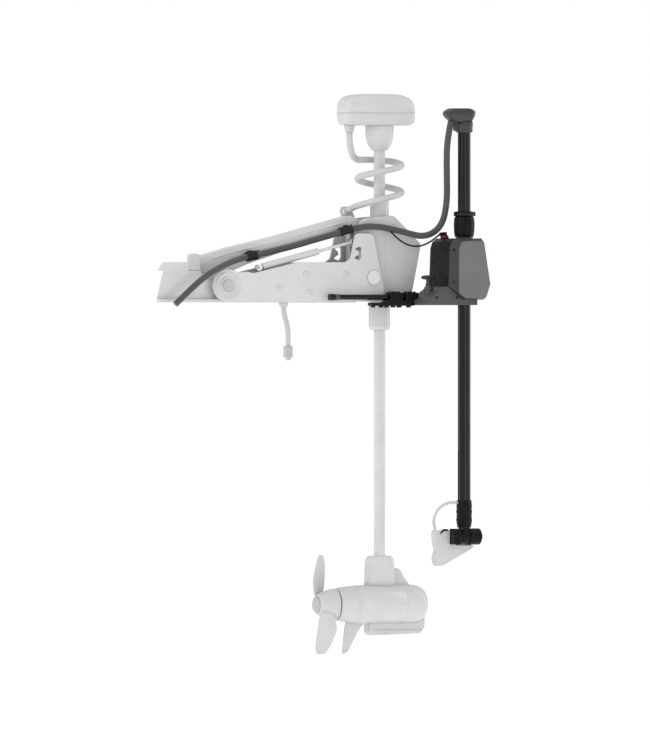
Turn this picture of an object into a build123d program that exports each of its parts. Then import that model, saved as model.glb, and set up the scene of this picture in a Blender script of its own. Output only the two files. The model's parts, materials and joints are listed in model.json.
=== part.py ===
from build123d import *

import math
import os

# Bow-mount electric trolling motor with a steerable sonar pole clamped to its steering housing.
# Millimetres. +X points outboard over the bow, +Y across the boat, +Z up.
# The origin is the centre of the four deck bolts, on the underside of the base.

os.makedirs("parts", exist_ok=True)

# ---------------------------------------------------------------- driving dimensions
DECK_BOLT_X, DECK_BOLT_Y, DECK_BOLT_R = 200.0, 51.0, 4.5

BASE_LEFT, BASE_RIGHT = -322.0, 285.0
BASE_FLOOR = 8.0
WALL_IN, WALL_OUT = 36.0, 44.0
PLATE_IN, PLATE_OUT = 64.0, 72.0

STOW_X, STOW_Z = -116.0, 47.0
TILT_X, TILT_Z = 333.0, 70.0
BEAM_FRONT_X, BEAM_FRONT_Z = 328.0, 212.0
BEAM_REAR_Z = 71.0
STOW_DEG, HOUSING_DEG = 140.0, 90.0
STRUT_REAR_X, STRUT_REAR_Z = -15.0, 97.0
STRUT_FRONT_X, STRUT_FRONT_Z = 275.0, 170.0
STRUT_Y = -54.0
BEAM_HALF = 22.0

SHAFT_X, SHAFT_R = 385.0, 16.0
RUN_GAP = 0.05
COLUMN_R, COLUMN_TOP = 26.5, 287.0
HOUSING_HALF = 56.0
NECK_TOP, NECK_BOTTOM = 497.0, 427.0
HEAD_TOP = 586.0

MOTOR_Z = -847.0
MOTOR_BACK, MOTOR_FRONT = 250.0, 521.0
SKEG_TIP_Z = -987.0
PROP_X, PROP_R = 203.0, 140.0
PROP_SHAFT_R = 5.0

POLE_X, POLE_Y, POLE_R = 577.0, -150.0, 18.0
BOX_NEAR, BOX_JOINT, BOX_FAR = -225.0, -208.0, -80.0
BOX_WALL = 5.0
BOX_TOP = 180.0
KNOB_X, KNOB_Y = 470.0, -142.0
ROD_Y, ROD_Z, ROD_R = -95.0, 15.0, 7.5
TILT_AXIS_Z = -656.0


# ---------------------------------------------------------------- shape helpers
def side_plane(y):
    """A plane across Y, drawn in X and Z, that extrudes towards -Y."""
    return Plane.XZ.offset(-y)


def slab(points, y_high, depth, mode=Mode.ADD):
    """A side outline in X and Z, from y_high down to y_high - depth."""
    with BuildSketch(side_plane(y_high)) as face:
        with BuildLine():
            Polyline(*points, close=True)
        make_face()
    extrude(face.sketch, amount=depth, mode=mode)


def round_y(x, z, radius, y_high, depth, mode=Mode.ADD):
    """A round bar or hole along Y."""
    with BuildSketch(side_plane(y_high)) as face:
        with Locations((x, z)):
            Circle(radius)
    extrude(face.sketch, amount=depth, mode=mode)


def round_z(x, y, radius, z_low, height, mode=Mode.ADD):
    """A round bar or hole along Z."""
    with BuildSketch(Plane.XY.offset(z_low)) as face:
        with Locations((x, y)):
            Circle(radius)
    extrude(face.sketch, amount=height, mode=mode)


def round_x(y, z, radius, x_low, length, mode=Mode.ADD):
    """A round bar or hole along X."""
    with BuildSketch(Plane.YZ.offset(x_low)) as face:
        with Locations((y, z)):
            Circle(radius)
    extrude(face.sketch, amount=length, mode=mode)


def block(x_low, x_high, y_low, y_high, z_low, z_high, mode=Mode.ADD):
    """A rectangular block given by its limits."""
    with BuildSketch(Plane.XY.offset(z_low)) as face:
        with Locations(((x_low + x_high) / 2, (y_low + y_high) / 2)):
            Rectangle(x_high - x_low, y_high - y_low)
    extrude(face.sketch, amount=z_high - z_low, mode=mode)


def plan_block(points, z_low, height, mode=Mode.ADD):
    """An upright block with the given outline in X and Y."""
    with BuildSketch(Plane.XY.offset(z_low)) as face:
        with BuildLine():
            Polyline(*points, close=True)
        make_face()
    extrude(face.sketch, amount=height, mode=mode)


def turned(profile, x, y):
    """A solid turned about a vertical axis at x, y, from (radius, z) points."""
    with BuildSketch(Plane.XZ.offset(-y)) as face:
        with BuildLine():
            Polyline(*[(x + r, z) for r, z in profile], close=True)
        make_face()
    revolve(face.sketch, axis=Axis((x, y, 0), (0, 0, 1)))


def hexagon_z(x, y, across, z_low, height, mode=Mode.ADD):
    """A hexagonal bolt head or nut standing along Z."""
    with BuildSketch(Plane.XY.offset(z_low)) as face:
        with Locations((x, y)):
            RegularPolygon(across / math.sqrt(3), 6)
    extrude(face.sketch, amount=height, mode=mode)


def tube_route(points, diameter):
    """A closed tube along straight runs joined by the largest arcs that the runs allow."""
    vectors = [Vector(*p) for p in points]
    radii = []
    for before, here, after in zip(vectors, vectors[1:], vectors[2:]):
        turn = (here - before).get_angle(after - here)
        shorter = min((here - before).length, (after - here).length)
        radii.append(0.45 * shorter / math.tan(math.radians(turn / 2)))
    print("  bend radii", [round(r) for r in radii], "sharpest", round(min(radii) / diameter, 1),
          "diameters")
    with BuildPart() as tube:
        with BuildLine() as path:
            FilletPolyline(*points, radius=radii)
        start = path.line @ 0
        with BuildSketch(Plane(origin=start, z_dir=path.line % 0)):
            Circle(diameter / 2)
        sweep()
    length = sum(edge.length for edge in path.line.edges())
    share = tube.part.volume / (length * math.pi * diameter**2 / 4)
    print("  route", round(length), "mm, volume over length times section", round(share, 4))
    return tube


def spur_gear(module, teeth, turn, x, y, z_low, width):
    """A spur gear along Z with straight flanks and generous backlash, turned by an angle in degrees."""
    pitch_r = module * teeth / 2
    tip, root = pitch_r + 0.85 * module, pitch_r - 1.2 * module
    half_tip, half_root = 0.28 * module / tip, 0.92 * module / root
    points = []
    for tooth in range(teeth):
        middle = 2 * math.pi * tooth / teeth + math.radians(turn)
        for radius, offset in ((root, -half_root), (tip, -half_tip), (tip, half_tip),
                               (root, half_root)):
            points.append((x + radius * math.cos(middle + offset),
                           y + radius * math.sin(middle + offset)))
    with BuildSketch(Plane.XY.offset(z_low)) as face:
        with BuildLine():
            Polyline(*points, close=True)
        make_face()
    extrude(face.sketch, amount=width)


def save(builder, name):
    """Labels a finished piece and writes its STEP file."""
    builder.part.label = name
    export_step(builder.part, f"parts/{name}.step")
    print(name, len(builder.part.solids()), "solids")


def rotate_xz(x, z, degrees):
    """Turns an X, Z pair anticlockwise as seen from -Y."""
    a = math.radians(degrees)
    return x * math.cos(a) - z * math.sin(a), x * math.sin(a) + z * math.cos(a)


# ---------------------------------------------------------------- stow linkage
# The beam's rear pivot is where its front pivot is equally far away deployed and stowed.
_arm_x, _arm_z = rotate_xz(TILT_X - STOW_X, TILT_Z - STOW_Z, STOW_DEG)
_lug_x, _lug_z = rotate_xz(BEAM_FRONT_X - TILT_X, BEAM_FRONT_Z - TILT_Z, HOUSING_DEG)
STOWED_X, STOWED_Z = STOW_X + _arm_x + _lug_x, STOW_Z + _arm_z + _lug_z
_half = ((BEAM_FRONT_X + STOWED_X) / 2, (BEAM_FRONT_Z + STOWED_Z) / 2)
_span = (STOWED_X - BEAM_FRONT_X, STOWED_Z - BEAM_FRONT_Z)
BEAM_REAR_X = _half[0] - (BEAM_REAR_Z - _half[1]) * _span[1] / _span[0]
_deployed = math.degrees(math.atan2(BEAM_FRONT_Z - BEAM_REAR_Z, BEAM_FRONT_X - BEAM_REAR_X))
_stowed = math.degrees(math.atan2(STOWED_Z - BEAM_REAR_Z, STOWED_X - BEAM_REAR_X))
BEAM_DEG = _stowed - _deployed
print("beam rear pivot", round(BEAM_REAR_X, 2), BEAM_REAR_Z, "turns", round(BEAM_DEG, 3))
print("housing ratio", round(HOUSING_DEG / STOW_DEG - 1, 6), "beam ratio",
      round((BEAM_DEG - HOUSING_DEG) / STOW_DEG, 6))

_rear = (STRUT_REAR_X - TILT_X, STRUT_REAR_Z - TILT_Z)
_front = (STRUT_FRONT_X - TILT_X, STRUT_FRONT_Z - TILT_Z)
_moved = rotate_xz(*_front, HOUSING_DEG - STOW_DEG)
STRUT_SHORT = math.dist(_rear, _front)
STRUT_LONG = math.dist(_rear, _moved)
STRUT_DEG = math.degrees(math.atan2(_front[1] - _rear[1], _front[0] - _rear[0]))
print("strut", round(STRUT_SHORT, 1), "to", round(STRUT_LONG, 1), "at", round(STRUT_DEG, 2), "ratio",
      round((STRUT_LONG - STRUT_SHORT) / 1000 / math.radians(STOW_DEG), 6))


# ================================================================ base (fixed to the deck)
WALL_TOP, RAIL_TOP = 80.0, 113.0
GLAND_X = 88.0
SPACER_X, SPACER_Z, SPACER_R = STOW_X + 250.0, STOW_Z - 18.0, 9.0

with BuildPart() as base_tray:
    block(BASE_LEFT, BASE_RIGHT, -60, 60, 0, BASE_FLOOR)
    wall = [(BASE_LEFT, BASE_FLOOR), (BASE_RIGHT, BASE_FLOOR), (BASE_RIGHT, 58), (-45, 62),
            (-62, WALL_TOP), (-186, WALL_TOP), (-186, 88), (-304, 88)]
    slab(wall, WALL_OUT, WALL_OUT - WALL_IN)
    slab(wall, -WALL_IN, WALL_OUT - WALL_IN)
    block(277, BASE_RIGHT, -WALL_IN, WALL_IN, BASE_FLOOR, 34)
    block(60, 68, -WALL_IN, WALL_IN, BASE_FLOOR, 24)
    for wx in (DECK_BOLT_X, -DECK_BOLT_X):
        for wy in (DECK_BOLT_Y, -DECK_BOLT_Y):
            round_z(wx, wy, DECK_BOLT_R, 0, BASE_FLOOR, Mode.SUBTRACT)
    round_y(STOW_X, STOW_Z, 10, 60, 120, Mode.SUBTRACT)
    slab([(SPACER_X - 14, 14), (SPACER_X + 14, 14), (SPACER_X + 18, 90), (SPACER_X - 18, 90)], 60, 120,
         Mode.SUBTRACT)
    round_y(BEAM_REAR_X, BEAM_REAR_Z, 6, 60, 120, Mode.SUBTRACT)
    round_z(GLAND_X, 0, 9, 0, BASE_FLOOR, Mode.SUBTRACT)
    round_z(GLAND_X, 0, 13.5, 0, 4, Mode.SUBTRACT)
    # the rear end runs at a slant across the tray, and leans forwards above the floor
    plan_block([(-400, -44), (-322, -44), (-272, 64), (-272, 90), (-400, 90)], -1, 140, Mode.SUBTRACT)
    with BuildSketch(Plane.XY.offset(15)) as lean_low:
        with BuildLine():
            Polyline((-420, -64), (-331, -64), (-272, 64), (-420, 64), close=True)
        make_face()
    with BuildSketch(Plane.XY.offset(115)) as lean_high:
        with BuildLine():
            Polyline((-420, -64), (-306, -64), (-247, 64), (-420, 64), close=True)
        make_face()
    loft([lean_low.sketch.face(), lean_high.sketch.face()], ruled=True, mode=Mode.SUBTRACT)
    plan_block([(-314, -WALL_IN), (-306, -WALL_IN), (-272, WALL_IN), (-280, WALL_IN)], BASE_FLOOR, 20)
    # the rails that the stowed housing rests on
    slab([(-316, 88), (-224, 88), (-224, RAIL_TOP), (-298, 112)], -30, 14)
    slab([(-272, 88), (-224, 88), (-224, RAIL_TOP), (-254, 112)], 44, 14)
save(base_tray, "base_tray")

with BuildPart() as rest_bumpers:
    slab([(-224, 88), (-187, 88), (-187, 128), (-192, 136), (-218, 136), (-224, 130)], -30, 14)
save(rest_bumpers, "rest_bumpers")

with BuildPart() as base_pins:
    # two stubs, so that the beam can swing between them
    for y_high in (72.4, -32):
        round_y(STOW_X, STOW_Z, 10, y_high, 40.4)
    for y_high in (78.4, -72.4):
        round_y(STOW_X, STOW_Z, 17, y_high, 6)
    for y_high, depth in ((WALL_OUT + 4, 25), (-23, 25)):
        round_y(BEAM_REAR_X, BEAM_REAR_Z, 6, y_high, depth)
save(base_pins, "base_pins")

# The power lead leaves through the floor of the tray and hangs below the deck edge.
POWER_DIA = 14.0
POWER_ROUTE = ((GLAND_X, 0, -14), (90, 0, -34), (99, 0, -62), (103, 1, -92), (102, 0, -122))
with BuildPart() as power_gland:
    turned([(0, 8), (8.95, 8), (8.95, 4), (13, 4), (13, -5), (9, -14), (0, -14)], GLAND_X, 0)
save(power_gland, "power_gland")
print("power_lead")
power_lead = tube_route(POWER_ROUTE, POWER_DIA)
save(power_lead, "power_lead")
with BuildPart() as power_plug:
    block(92, 112, -11, 11, -154, -122)
    block(96, 100, -4, 4, -162, -154)
    block(104, 108, -4, 4, -162, -154)
save(power_plug, "power_plug")

# ================================================================ stow arms
PLATE = [(-116, 1), (361, 3), (367, 35), (360, 70), (349, 113), (342, 150), (332, 190), (322, 194),
         (284, 194), (276, 188), (268, 147), (262, 124), (246, 113), (101, 113), (-35, 82), (-60, 86),
         (-84, 83.5), (-100, 90.2), (-116, 93), (-132, 90), (-148, 80), (-158, 66), (-162, 47),
         (-158, 28), (-148, 14), (-132, 4)]
HOOK = [(274, 124), (290, 118), (296, 128), (296, 152), (290, 158), (276, 150), (284, 146), (288, 140),
        (288, 134), (280, 130)]
for side, name in ((-PLATE_IN, "arm_plate_near"), (PLATE_OUT, "arm_plate_far")):
    with BuildPart() as arm_plate:
        slab(PLATE, side, PLATE_OUT - PLATE_IN)
        round_y(STOW_X, STOW_Z, 10 + RUN_GAP, side, 8, Mode.SUBTRACT)
        round_y(TILT_X, TILT_Z, 14 + RUN_GAP, side, 8, Mode.SUBTRACT)
        round_y(SPACER_X, SPACER_Z, 4, side, 8, Mode.SUBTRACT)
        round_y(STRUT_REAR_X, STRUT_REAR_Z, 4, side, 8, Mode.SUBTRACT)
        slab(HOOK, side, 8, Mode.SUBTRACT)
    save(arm_plate, name)

with BuildPart() as arm_pins:
    round_y(SPACER_X, SPACER_Z, SPACER_R, PLATE_IN, 2 * PLATE_IN)
    round_y(SPACER_X, SPACER_Z, 4, PLATE_OUT, 2 * PLATE_OUT)
    round_y(STRUT_REAR_X, STRUT_REAR_Z, 4, -47, PLATE_OUT - 47)
    round_y(STRUT_REAR_X, STRUT_REAR_Z, 8, -60.5, PLATE_IN - 60.5)
save(arm_pins, "arm_pins")

ARM_SCREWS = ((SPACER_X, SPACER_Z), (123, 80), (246, 82), (39, 41))
with BuildPart() as arm_screws:
    for sx, sz in ARM_SCREWS:
        round_y(sx, sz, 7, PLATE_OUT + 3, 3)
        round_y(sx, sz, 7, -PLATE_OUT, 3)
save(arm_screws, "arm_screws")

# ================================================================ gas strut
def along_strut(distance, across=0.0):
    """A point measured along the strut from its rear pivot."""
    a = math.radians(STRUT_DEG)
    return (STRUT_REAR_X + distance * math.cos(a) - across * math.sin(a),
            STRUT_REAR_Z + distance * math.sin(a) + across * math.cos(a))


def strut_round(distance, length, radius, mode=Mode.ADD):
    """A round bar or hole along the strut axis."""
    a = math.radians(STRUT_DEG)
    x, z = along_strut(distance)
    with BuildSketch(Plane(origin=(x, STRUT_Y, z), x_dir=(0, 1, 0),
                           z_dir=(math.cos(a), 0, math.sin(a)))) as face:
        Circle(radius)
    extrude(face.sketch, amount=length, mode=mode)


STRUT_BODY = 190.0
with BuildPart() as strut_cylinder:
    strut_round(14, STRUT_BODY - 14, 9.4)
    strut_round(20, STRUT_BODY - 40, 8, Mode.SUBTRACT)
    strut_round(STRUT_BODY - 21, 22, 4.5 + RUN_GAP, Mode.SUBTRACT)
    round_y(STRUT_REAR_X, STRUT_REAR_Z, 9, -48, 12)
    strut_round(6, 8.5, 5)
    round_y(STRUT_REAR_X, STRUT_REAR_Z, 4 + RUN_GAP, -47, 14, Mode.SUBTRACT)
save(strut_cylinder, "strut_cylinder")
with BuildPart() as strut_rod:
    strut_round(50, 10, 8 - RUN_GAP)
    strut_round(60, STRUT_SHORT - 60 - 6, 4.5)
    round_y(STRUT_FRONT_X, STRUT_FRONT_Z, 9, -48, 12)
    round_y(STRUT_FRONT_X, STRUT_FRONT_Z, 4.5, -47, 14, Mode.SUBTRACT)
save(strut_rod, "strut_rod")

# ================================================================ steering housing
HOUSE = [(306, 34), (352, 8), (450, 8), (458, 20), (487, 160), (482, 170), (407, 241), (400, 244),
         (330, 238), (312, 232),
         (306, 222)]
HOUSE_IN = [(311, 37), (353.5, 13), (447, 13), (453.5, 23), (481.5, 160), (478, 167), (404, 236),
            (399, 239), (331, 233),
            (314.5, 228), (311, 221)]
for near in (True, False):
    skin = -51 if near else HOUSING_HALF
    middle = (0.0, 51.0) if near else (51.0, 51.0)
    with BuildPart() as shell:
        slab(HOUSE, skin, 5)
        slab(HOUSE, *middle)
        slab(HOUSE_IN, *middle, mode=Mode.SUBTRACT)
        # the column and the beam pass through the middle
        block(SHAFT_X - 27, SHAFT_X + 27, -27, 27, 0, 260, Mode.SUBTRACT)
        block(300, SHAFT_X - 20, -27, 27, 0, 260, Mode.SUBTRACT)
        round_y(TILT_X, TILT_Z, 14, 60, 120, Mode.SUBTRACT)
        if near:
            slab([(300, 150), (312, 150), (312, 186), (300, 186)], -31, 15, Mode.SUBTRACT)
            # the clip that holds the middle of the hose
            block(385, 399, -72, -HOUSING_HALF, 193, 215)
        else:
            # the moulded gland of the coiled lead
            slab([(304, 219), (312, 232), (330, 238), (330, 244), (316, 270), (292, 270), (286, 258),
                  (292, 242),
                  (304, 228)], HOUSING_HALF, 8)
            with BuildSketch(Plane(origin=(304, 40, 258), z_dir=(-9, 28, -12))) as mouth:
                Circle(11)
            extrude(mouth.sketch, amount=13)
    save(shell, "housing_shell_near" if near else "housing_shell_far")

with BuildPart() as housing_yoke:
    block(346, 430, -50.9, 50.9, 26, 206)
    for y_high in (50.9, -28):
        slab([(311.2, 40), (346, 40), (346, 231), (332, 231), (315, 226), (311.2, 220)], y_high, 22.9)
    round_z(SHAFT_X, 0, COLUMN_R, 0, 300, Mode.SUBTRACT)
    block(300, SHAFT_X - 15, -27, 27, 150, 260, Mode.SUBTRACT)
    round_y(TILT_X, TILT_Z, 14, 60, 120, Mode.SUBTRACT)
    round_y(BEAM_FRONT_X, BEAM_FRONT_Z, 8, 60, 120, Mode.SUBTRACT)
    # the lever that the gas strut pushes
    slab([(311.2, 152), (311.2, 182), (275, 179), (268, 176), (266, 170), (268, 164), (275, 161)], -33,
         10)
    round_y(STRUT_FRONT_X, STRUT_FRONT_Z, 4, -43, 1.4)
save(housing_yoke, "housing_yoke")

with BuildPart() as housing_pins:
    for y_high in (72.4, -28):
        round_y(TILT_X, TILT_Z, 14, y_high, 44.4)
    for y_high in (77.4, -72.4):
        round_y(TILT_X, TILT_Z, 20, y_high, 5)
    round_y(BEAM_FRONT_X, BEAM_FRONT_Z, 8, 50.9, 101.8)
save(housing_pins, "housing_pins")

with BuildPart() as column_tube:
    turned([(22, -77), (27, -77), (30, -66), (30, -4), (COLUMN_R, 0), (COLUMN_R, 282),
            (24, COLUMN_TOP), (22, COLUMN_TOP)],
           SHAFT_X, 0)
save(column_tube, "column_tube")

with BuildPart() as guide_bushes:
    for bush_x, bush_y, z_low, height, outer, inner in (
        (SHAFT_X, 0, -72, 30, 22, SHAFT_R),
        (SHAFT_X, 0, 250, 30, 22, SHAFT_R),
        (POLE_X, POLE_Y, 8, 8, 24, POLE_R),
        (POLE_X, POLE_Y, 170, 14, 24, POLE_R),
    ):
        round_z(bush_x, bush_y, outer, z_low, height)
        round_z(bush_x, bush_y, inner + RUN_GAP, z_low, height, Mode.SUBTRACT)
save(guide_bushes, "guide_bushes")

# ================================================================ upper beam
BEAM = [(-186, 60), (-188, 100), (-180, 122), (-165, 131), (-83, 154), (57, 185), (171, 215),
        (283, 244), (320, 231), (334, 226.5), (341, 219), (343, 212), (341, 204), (334, 198), (318, 196),
        (252, 190), (100, 150), (-32, 108), (-100, 80), (-146, 47), (-170, 45)]
with BuildPart() as upper_beam:
    slab(BEAM, BEAM_HALF, 2 * BEAM_HALF)
    round_y(BEAM_FRONT_X, BEAM_FRONT_Z, 8 + RUN_GAP, 30, 60, Mode.SUBTRACT)
    round_y(BEAM_REAR_X, BEAM_REAR_Z, 8, 30, 60, Mode.SUBTRACT)
    # lightening channel along the underside
    slab([(-60, 90), (-60, 128), (60, 160), (170, 190), (262, 214), (290, 216), (290, 180),
          (100, 140)], 16, 32, Mode.SUBTRACT)
save(upper_beam, "upper_beam")

# ================================================================ head and steering drive
with BuildPart() as head_base:
    slab([(265, 524), (267, 510), (276, 500), (286, 497), (464, 497), (475, 500), (481, 510),
          (483, 524), (483, 532), (265, 532)], 52, 104)
    slab([(271, 532), (273, 513), (290, 502), (460, 502), (474, 512), (477, 532)], 47, 94,
         Mode.SUBTRACT)
    round_z(SHAFT_X, 0, 18, 490, 20, Mode.SUBTRACT)
    # the moulded strain relief of the coiled lead
    turned([(0, 501), (14, 501), (14, 486), (10.5, 478), (0, 478)], 288, -8)
save(head_base, "head_base")

with BuildPart() as head_cover:
    with BuildSketch(Plane.XY.offset(532)) as low:
        with Locations((374, 0)):
            RectangleRounded(218, 104, 26)
    with BuildSketch(Plane.XY.offset(560)) as middle_face:
        with Locations((373, 0)):
            RectangleRounded(214, 100, 28)
    with BuildSketch(Plane.XY.offset(HEAD_TOP)) as top_face:
        with Locations((377, 0)):
            RectangleRounded(150, 60, 26)
    loft([low.sketch.face(), middle_face.sketch.face(), top_face.sketch.face()], ruled=True)
    block(280, 460, -42, 42, 530, 562, Mode.SUBTRACT)
save(head_cover, "head_cover")

with BuildPart() as neck:
    turned([(16.6, NECK_TOP), (40, NECK_TOP), (40, 470), (34, 446), (22, NECK_BOTTOM),
            (16.6, NECK_BOTTOM)], SHAFT_X, 0)
save(neck, "neck")

with BuildPart() as head_board:
    block(400, 448, -36, 36, 536, 539)
    block(408, 424, -20, 20, 539, 548)
    block(430, 442, 6, 26, 539, 552)
    block(440, 446, -30, -24, 502, 536)
    block(436, 442, 24, 30, 502, 536)
save(head_board, "head_board")

GEAR_MODULE, SHAFT_TEETH, PINION_TEETH = 1.5, 48, 16
PINION_X = SHAFT_X - GEAR_MODULE * (SHAFT_TEETH + PINION_TEETH) / 2
with BuildPart() as steer_motor:
    round_z(PINION_X, 0, 16, 524, 36)
    round_z(PINION_X, 0, 4, 520.5, 4)
    block(300, 322, -16, 16, 523, 527)
    block(300, 306, -16, 16, 503, 523)
save(steer_motor, "steer_motor")

with BuildPart() as steer_pinion:
    spur_gear(GEAR_MODULE, PINION_TEETH, 180 / PINION_TEETH, PINION_X, 0, 505, 15)
save(steer_pinion, "steer_pinion")

# The lower unit's lead coils loosely round the shaft, between the head and the housing.
COIL_R, COIL_DIA, COIL_STEP = 64.0, 18.0, 30
COIL_ROUTE = [(288, -8, 478), (288, -8, 455.5), (293.4, -2.5, 434.4), (303.5, 7.9, 417.1),
              (317, 21.8, 405.9)]
for angle in range(135, -526, -COIL_STEP):
    a = math.radians(angle)
    sag = 0.001 * max(0, angle) ** 2 + 0.0002 * max(0, -angle - 360) ** 2
    COIL_ROUTE.append((SHAFT_X + COIL_R * math.cos(a), COIL_R * math.sin(a), 391 + 0.21 * angle - sag))
COIL_ROUTE += [(313, 12, 270), (304, 40, 258)]
print("coil_lead")
coil_lead = tube_route(COIL_ROUTE, COIL_DIA)
save(coil_lead, "coil_lead")

# ================================================================ steered shaft and lower unit
BLOCK_TOP = -710.0
with BuildPart() as shaft_tube:
    round_z(SHAFT_X, 0, SHAFT_R, -780, 780 + 520)
    round_z(SHAFT_X, 0, 12, -780, 780 + 520, Mode.SUBTRACT)
save(shaft_tube, "shaft_tube")

with BuildPart() as shaft_gear:
    spur_gear(GEAR_MODULE, SHAFT_TEETH, 0, SHAFT_X, 0, 506, 13)
    round_z(SHAFT_X, 0, SHAFT_R, 500, 30, Mode.SUBTRACT)
save(shaft_gear, "shaft_gear")


def motor_turned(profile, mode=Mode.ADD):
    """A solid turned about the lower unit's axis, from (x, radius) points."""
    with BuildSketch(Plane.XZ) as face:
        with BuildLine():
            Polyline(*[(x, MOTOR_Z + r) for x, r in profile], close=True)
        make_face()
    revolve(face.sketch, axis=Axis((0, 0, MOTOR_Z), (1, 0, 0)), mode=mode)


MOTOR_SKIN = [(MOTOR_BACK, 0), (MOTOR_BACK, 46), (262, 48.5), (290, 52), (330, 55), (365, 56),
              (470, 56), (484, 55.2), (496, 53.3), (506, 49.6), (513, 45), (518, 38.5), (MOTOR_FRONT, 28),
              (MOTOR_FRONT, 0)]
SKEG = [(280, -890), (277, -905), (272, -960), (267, -984), (272, SKEG_TIP_Z), (286, -980),
        (300, -955), (318, -922), (330, -905), (338, -890)]
with BuildPart() as motor_shell:
    motor_turned(MOTOR_SKIN)
    motor_turned([(240, 0), (240, 14), (296, 14), (296, 0)], Mode.SUBTRACT)
    round_z(SHAFT_X, 0, 12, -810, 40, Mode.SUBTRACT)
    slab([(432, -795), (432, -745), (440, -745), (449, -750), (466, -778), (478, -792), (478, -795)],
         3, 6)
    slab(SKEG, 2.5, 5)
    motor_turned([(296, 0), (296, 38), (312, 46), (474, 46), (474, 0)], Mode.SUBTRACT)
save(motor_shell, "motor_shell")

with BuildPart() as shaft_socket:
    with BuildSketch(Plane.XY.offset(-800)) as foot:
        with Locations((SHAFT_X, 0)):
            RectangleRounded(90, 46, 20)
    with BuildSketch(Plane.XY.offset(BLOCK_TOP)) as crown:
        with Locations((SHAFT_X, 0)):
            RectangleRounded(82, 42, 19)
    loft([foot.sketch.face(), crown.sketch.face()])
    round_z(SHAFT_X, 0, SHAFT_R, -780, 90, Mode.SUBTRACT)
    round_z(SHAFT_X, 0, 12, -810, 90, Mode.SUBTRACT)
    motor_turned(MOTOR_SKIN, Mode.SUBTRACT)
save(shaft_socket, "shaft_socket")

with BuildPart() as sonar_pod:
    slab([(345, -890), (345, -924), (350, -932), (356, -934), (500, -929), (510, -921), (516, -907),
          (517, -880)], 20, 40)
    motor_turned(MOTOR_SKIN, Mode.SUBTRACT)
save(sonar_pod, "sonar_pod")

with BuildPart() as stator:
    motor_turned([(322, 31), (322, 46), (430, 46), (430, 31)])
save(stator, "stator")

with BuildPart() as bearings:
    motor_turned([(262, PROP_SHAFT_R + RUN_GAP), (262, 14), (274, 14), (274, PROP_SHAFT_R + RUN_GAP)])
    motor_turned([(452, PROP_SHAFT_R + RUN_GAP), (452, 46), (464, 46), (464, PROP_SHAFT_R + RUN_GAP)])
save(bearings, "bearings")

with BuildPart() as shaft_seal:
    motor_turned([(251, PROP_SHAFT_R + RUN_GAP), (251, 14), (259, 14), (259, PROP_SHAFT_R + RUN_GAP)])
save(shaft_seal, "shaft_seal")

# ================================================================ propeller
with BuildPart() as rotor_shaft:
    motor_turned([(188, 0), (188, PROP_SHAFT_R), (470, PROP_SHAFT_R), (470, 0)])
    motor_turned([(320, 0), (320, 30), (432, 30), (432, 0)])
save(rotor_shaft, "rotor_shaft")

BLADE_PITCH = math.radians(61)
BLADE_OFFSET = 14.0
BLADE = [(30, 16), (60, 18), (95, 20), (120, 22), (133, 22), (138.5, 17), (PROP_R, 9), (138.5, -1),
         (132, -10), (120, -20), (100, -30), (75, -36), (50, -33), (30, -22)]
with BuildPart() as propeller:
    motor_turned([(192, PROP_SHAFT_R), (192, 26), (198, 31), (210, 37), (226, 42), (246, 45.5),
                  (246, PROP_SHAFT_R)])
    for turn in (0, 180):
        blade_plane = Plane(origin=(PROP_X, BLADE_OFFSET, MOTOR_Z), x_dir=(0, 0, 1),
                            z_dir=(math.cos(BLADE_PITCH), -math.sin(BLADE_PITCH), 0))
        with BuildSketch(blade_plane.offset(-2)) as blade_face:
            with BuildLine():
                Polyline(*BLADE, close=True)
            make_face()
        swept = extrude(blade_face.sketch, amount=4, mode=Mode.PRIVATE)
        add(swept.rotate(Axis((0, 0, MOTOR_Z), (1, 0, 0)), turn))
    motor_turned([(180, 0), (180, PROP_SHAFT_R), (480, PROP_SHAFT_R), (480, 0)], Mode.SUBTRACT)
    motor_turned([(246.5, 0), (246.5, 200), (300, 200), (300, 0)], Mode.SUBTRACT)
save(propeller, "propeller")

with BuildPart() as prop_nut:
    motor_turned([(182, 0), (182, 16), (186, 22), (192, 24), (192, PROP_SHAFT_R), (188, PROP_SHAFT_R),
                  (188, 0)])
save(prop_nut, "prop_nut")

# ================================================================ sonar pole mount (on the steering housing)
with BuildPart() as rod_bracket:
    block(372, 441, -80, -33, -9, 0)
    block(311, 441, -112, -80, -9, 0)
    block(376, 438, -55, -33, 0, 8)
    for x_low, x_high in ((366, 404), (415, 453)):
        block(x_low, x_high, -112, -80, 0, 28)
    block(404, 415, -112, -80, 0, 6)
    round_x(ROD_Y, ROD_Z, ROD_R, 300, 200, Mode.SUBTRACT)
save(rod_bracket, "rod_bracket")

with BuildPart() as mount_bolts:
    for bx in (318, 343, 380, 398, 428):
        hexagon_z(bx, -100, 13, -14, 5)
    for bx in (386, 426):
        hexagon_z(bx, -44, 13, -14, 5)
save(mount_bolts, "mount_bolts")

with BuildPart() as support_rod:
    round_x(ROD_Y, ROD_Z, ROD_R, 192, 298)
    round_x(ROD_Y, ROD_Z, 9.5, 184, 16)
save(support_rod, "support_rod")

with BuildPart() as turret_foot:
    block(440, 592, -205, -60, -7, 8)
    slab([(446, 8), (453, 15), (492, 44.5), (500.5, 44.5), (547, 8)], BOX_FAR, BOX_FAR + 205)
    round_z(KNOB_X, KNOB_Y, 12, 8, 36)
    round_x(ROD_Y, ROD_Z, ROD_R, 430, 60, Mode.SUBTRACT)
    round_z(POLE_X, POLE_Y, POLE_R + 2, -10, 30, Mode.SUBTRACT)
    block(430, 441.2, -113, -60, -10, 9, Mode.SUBTRACT)
    block(430, 453.2, -113, -76, -10, 30, Mode.SUBTRACT)
save(turret_foot, "turret_foot")

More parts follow.
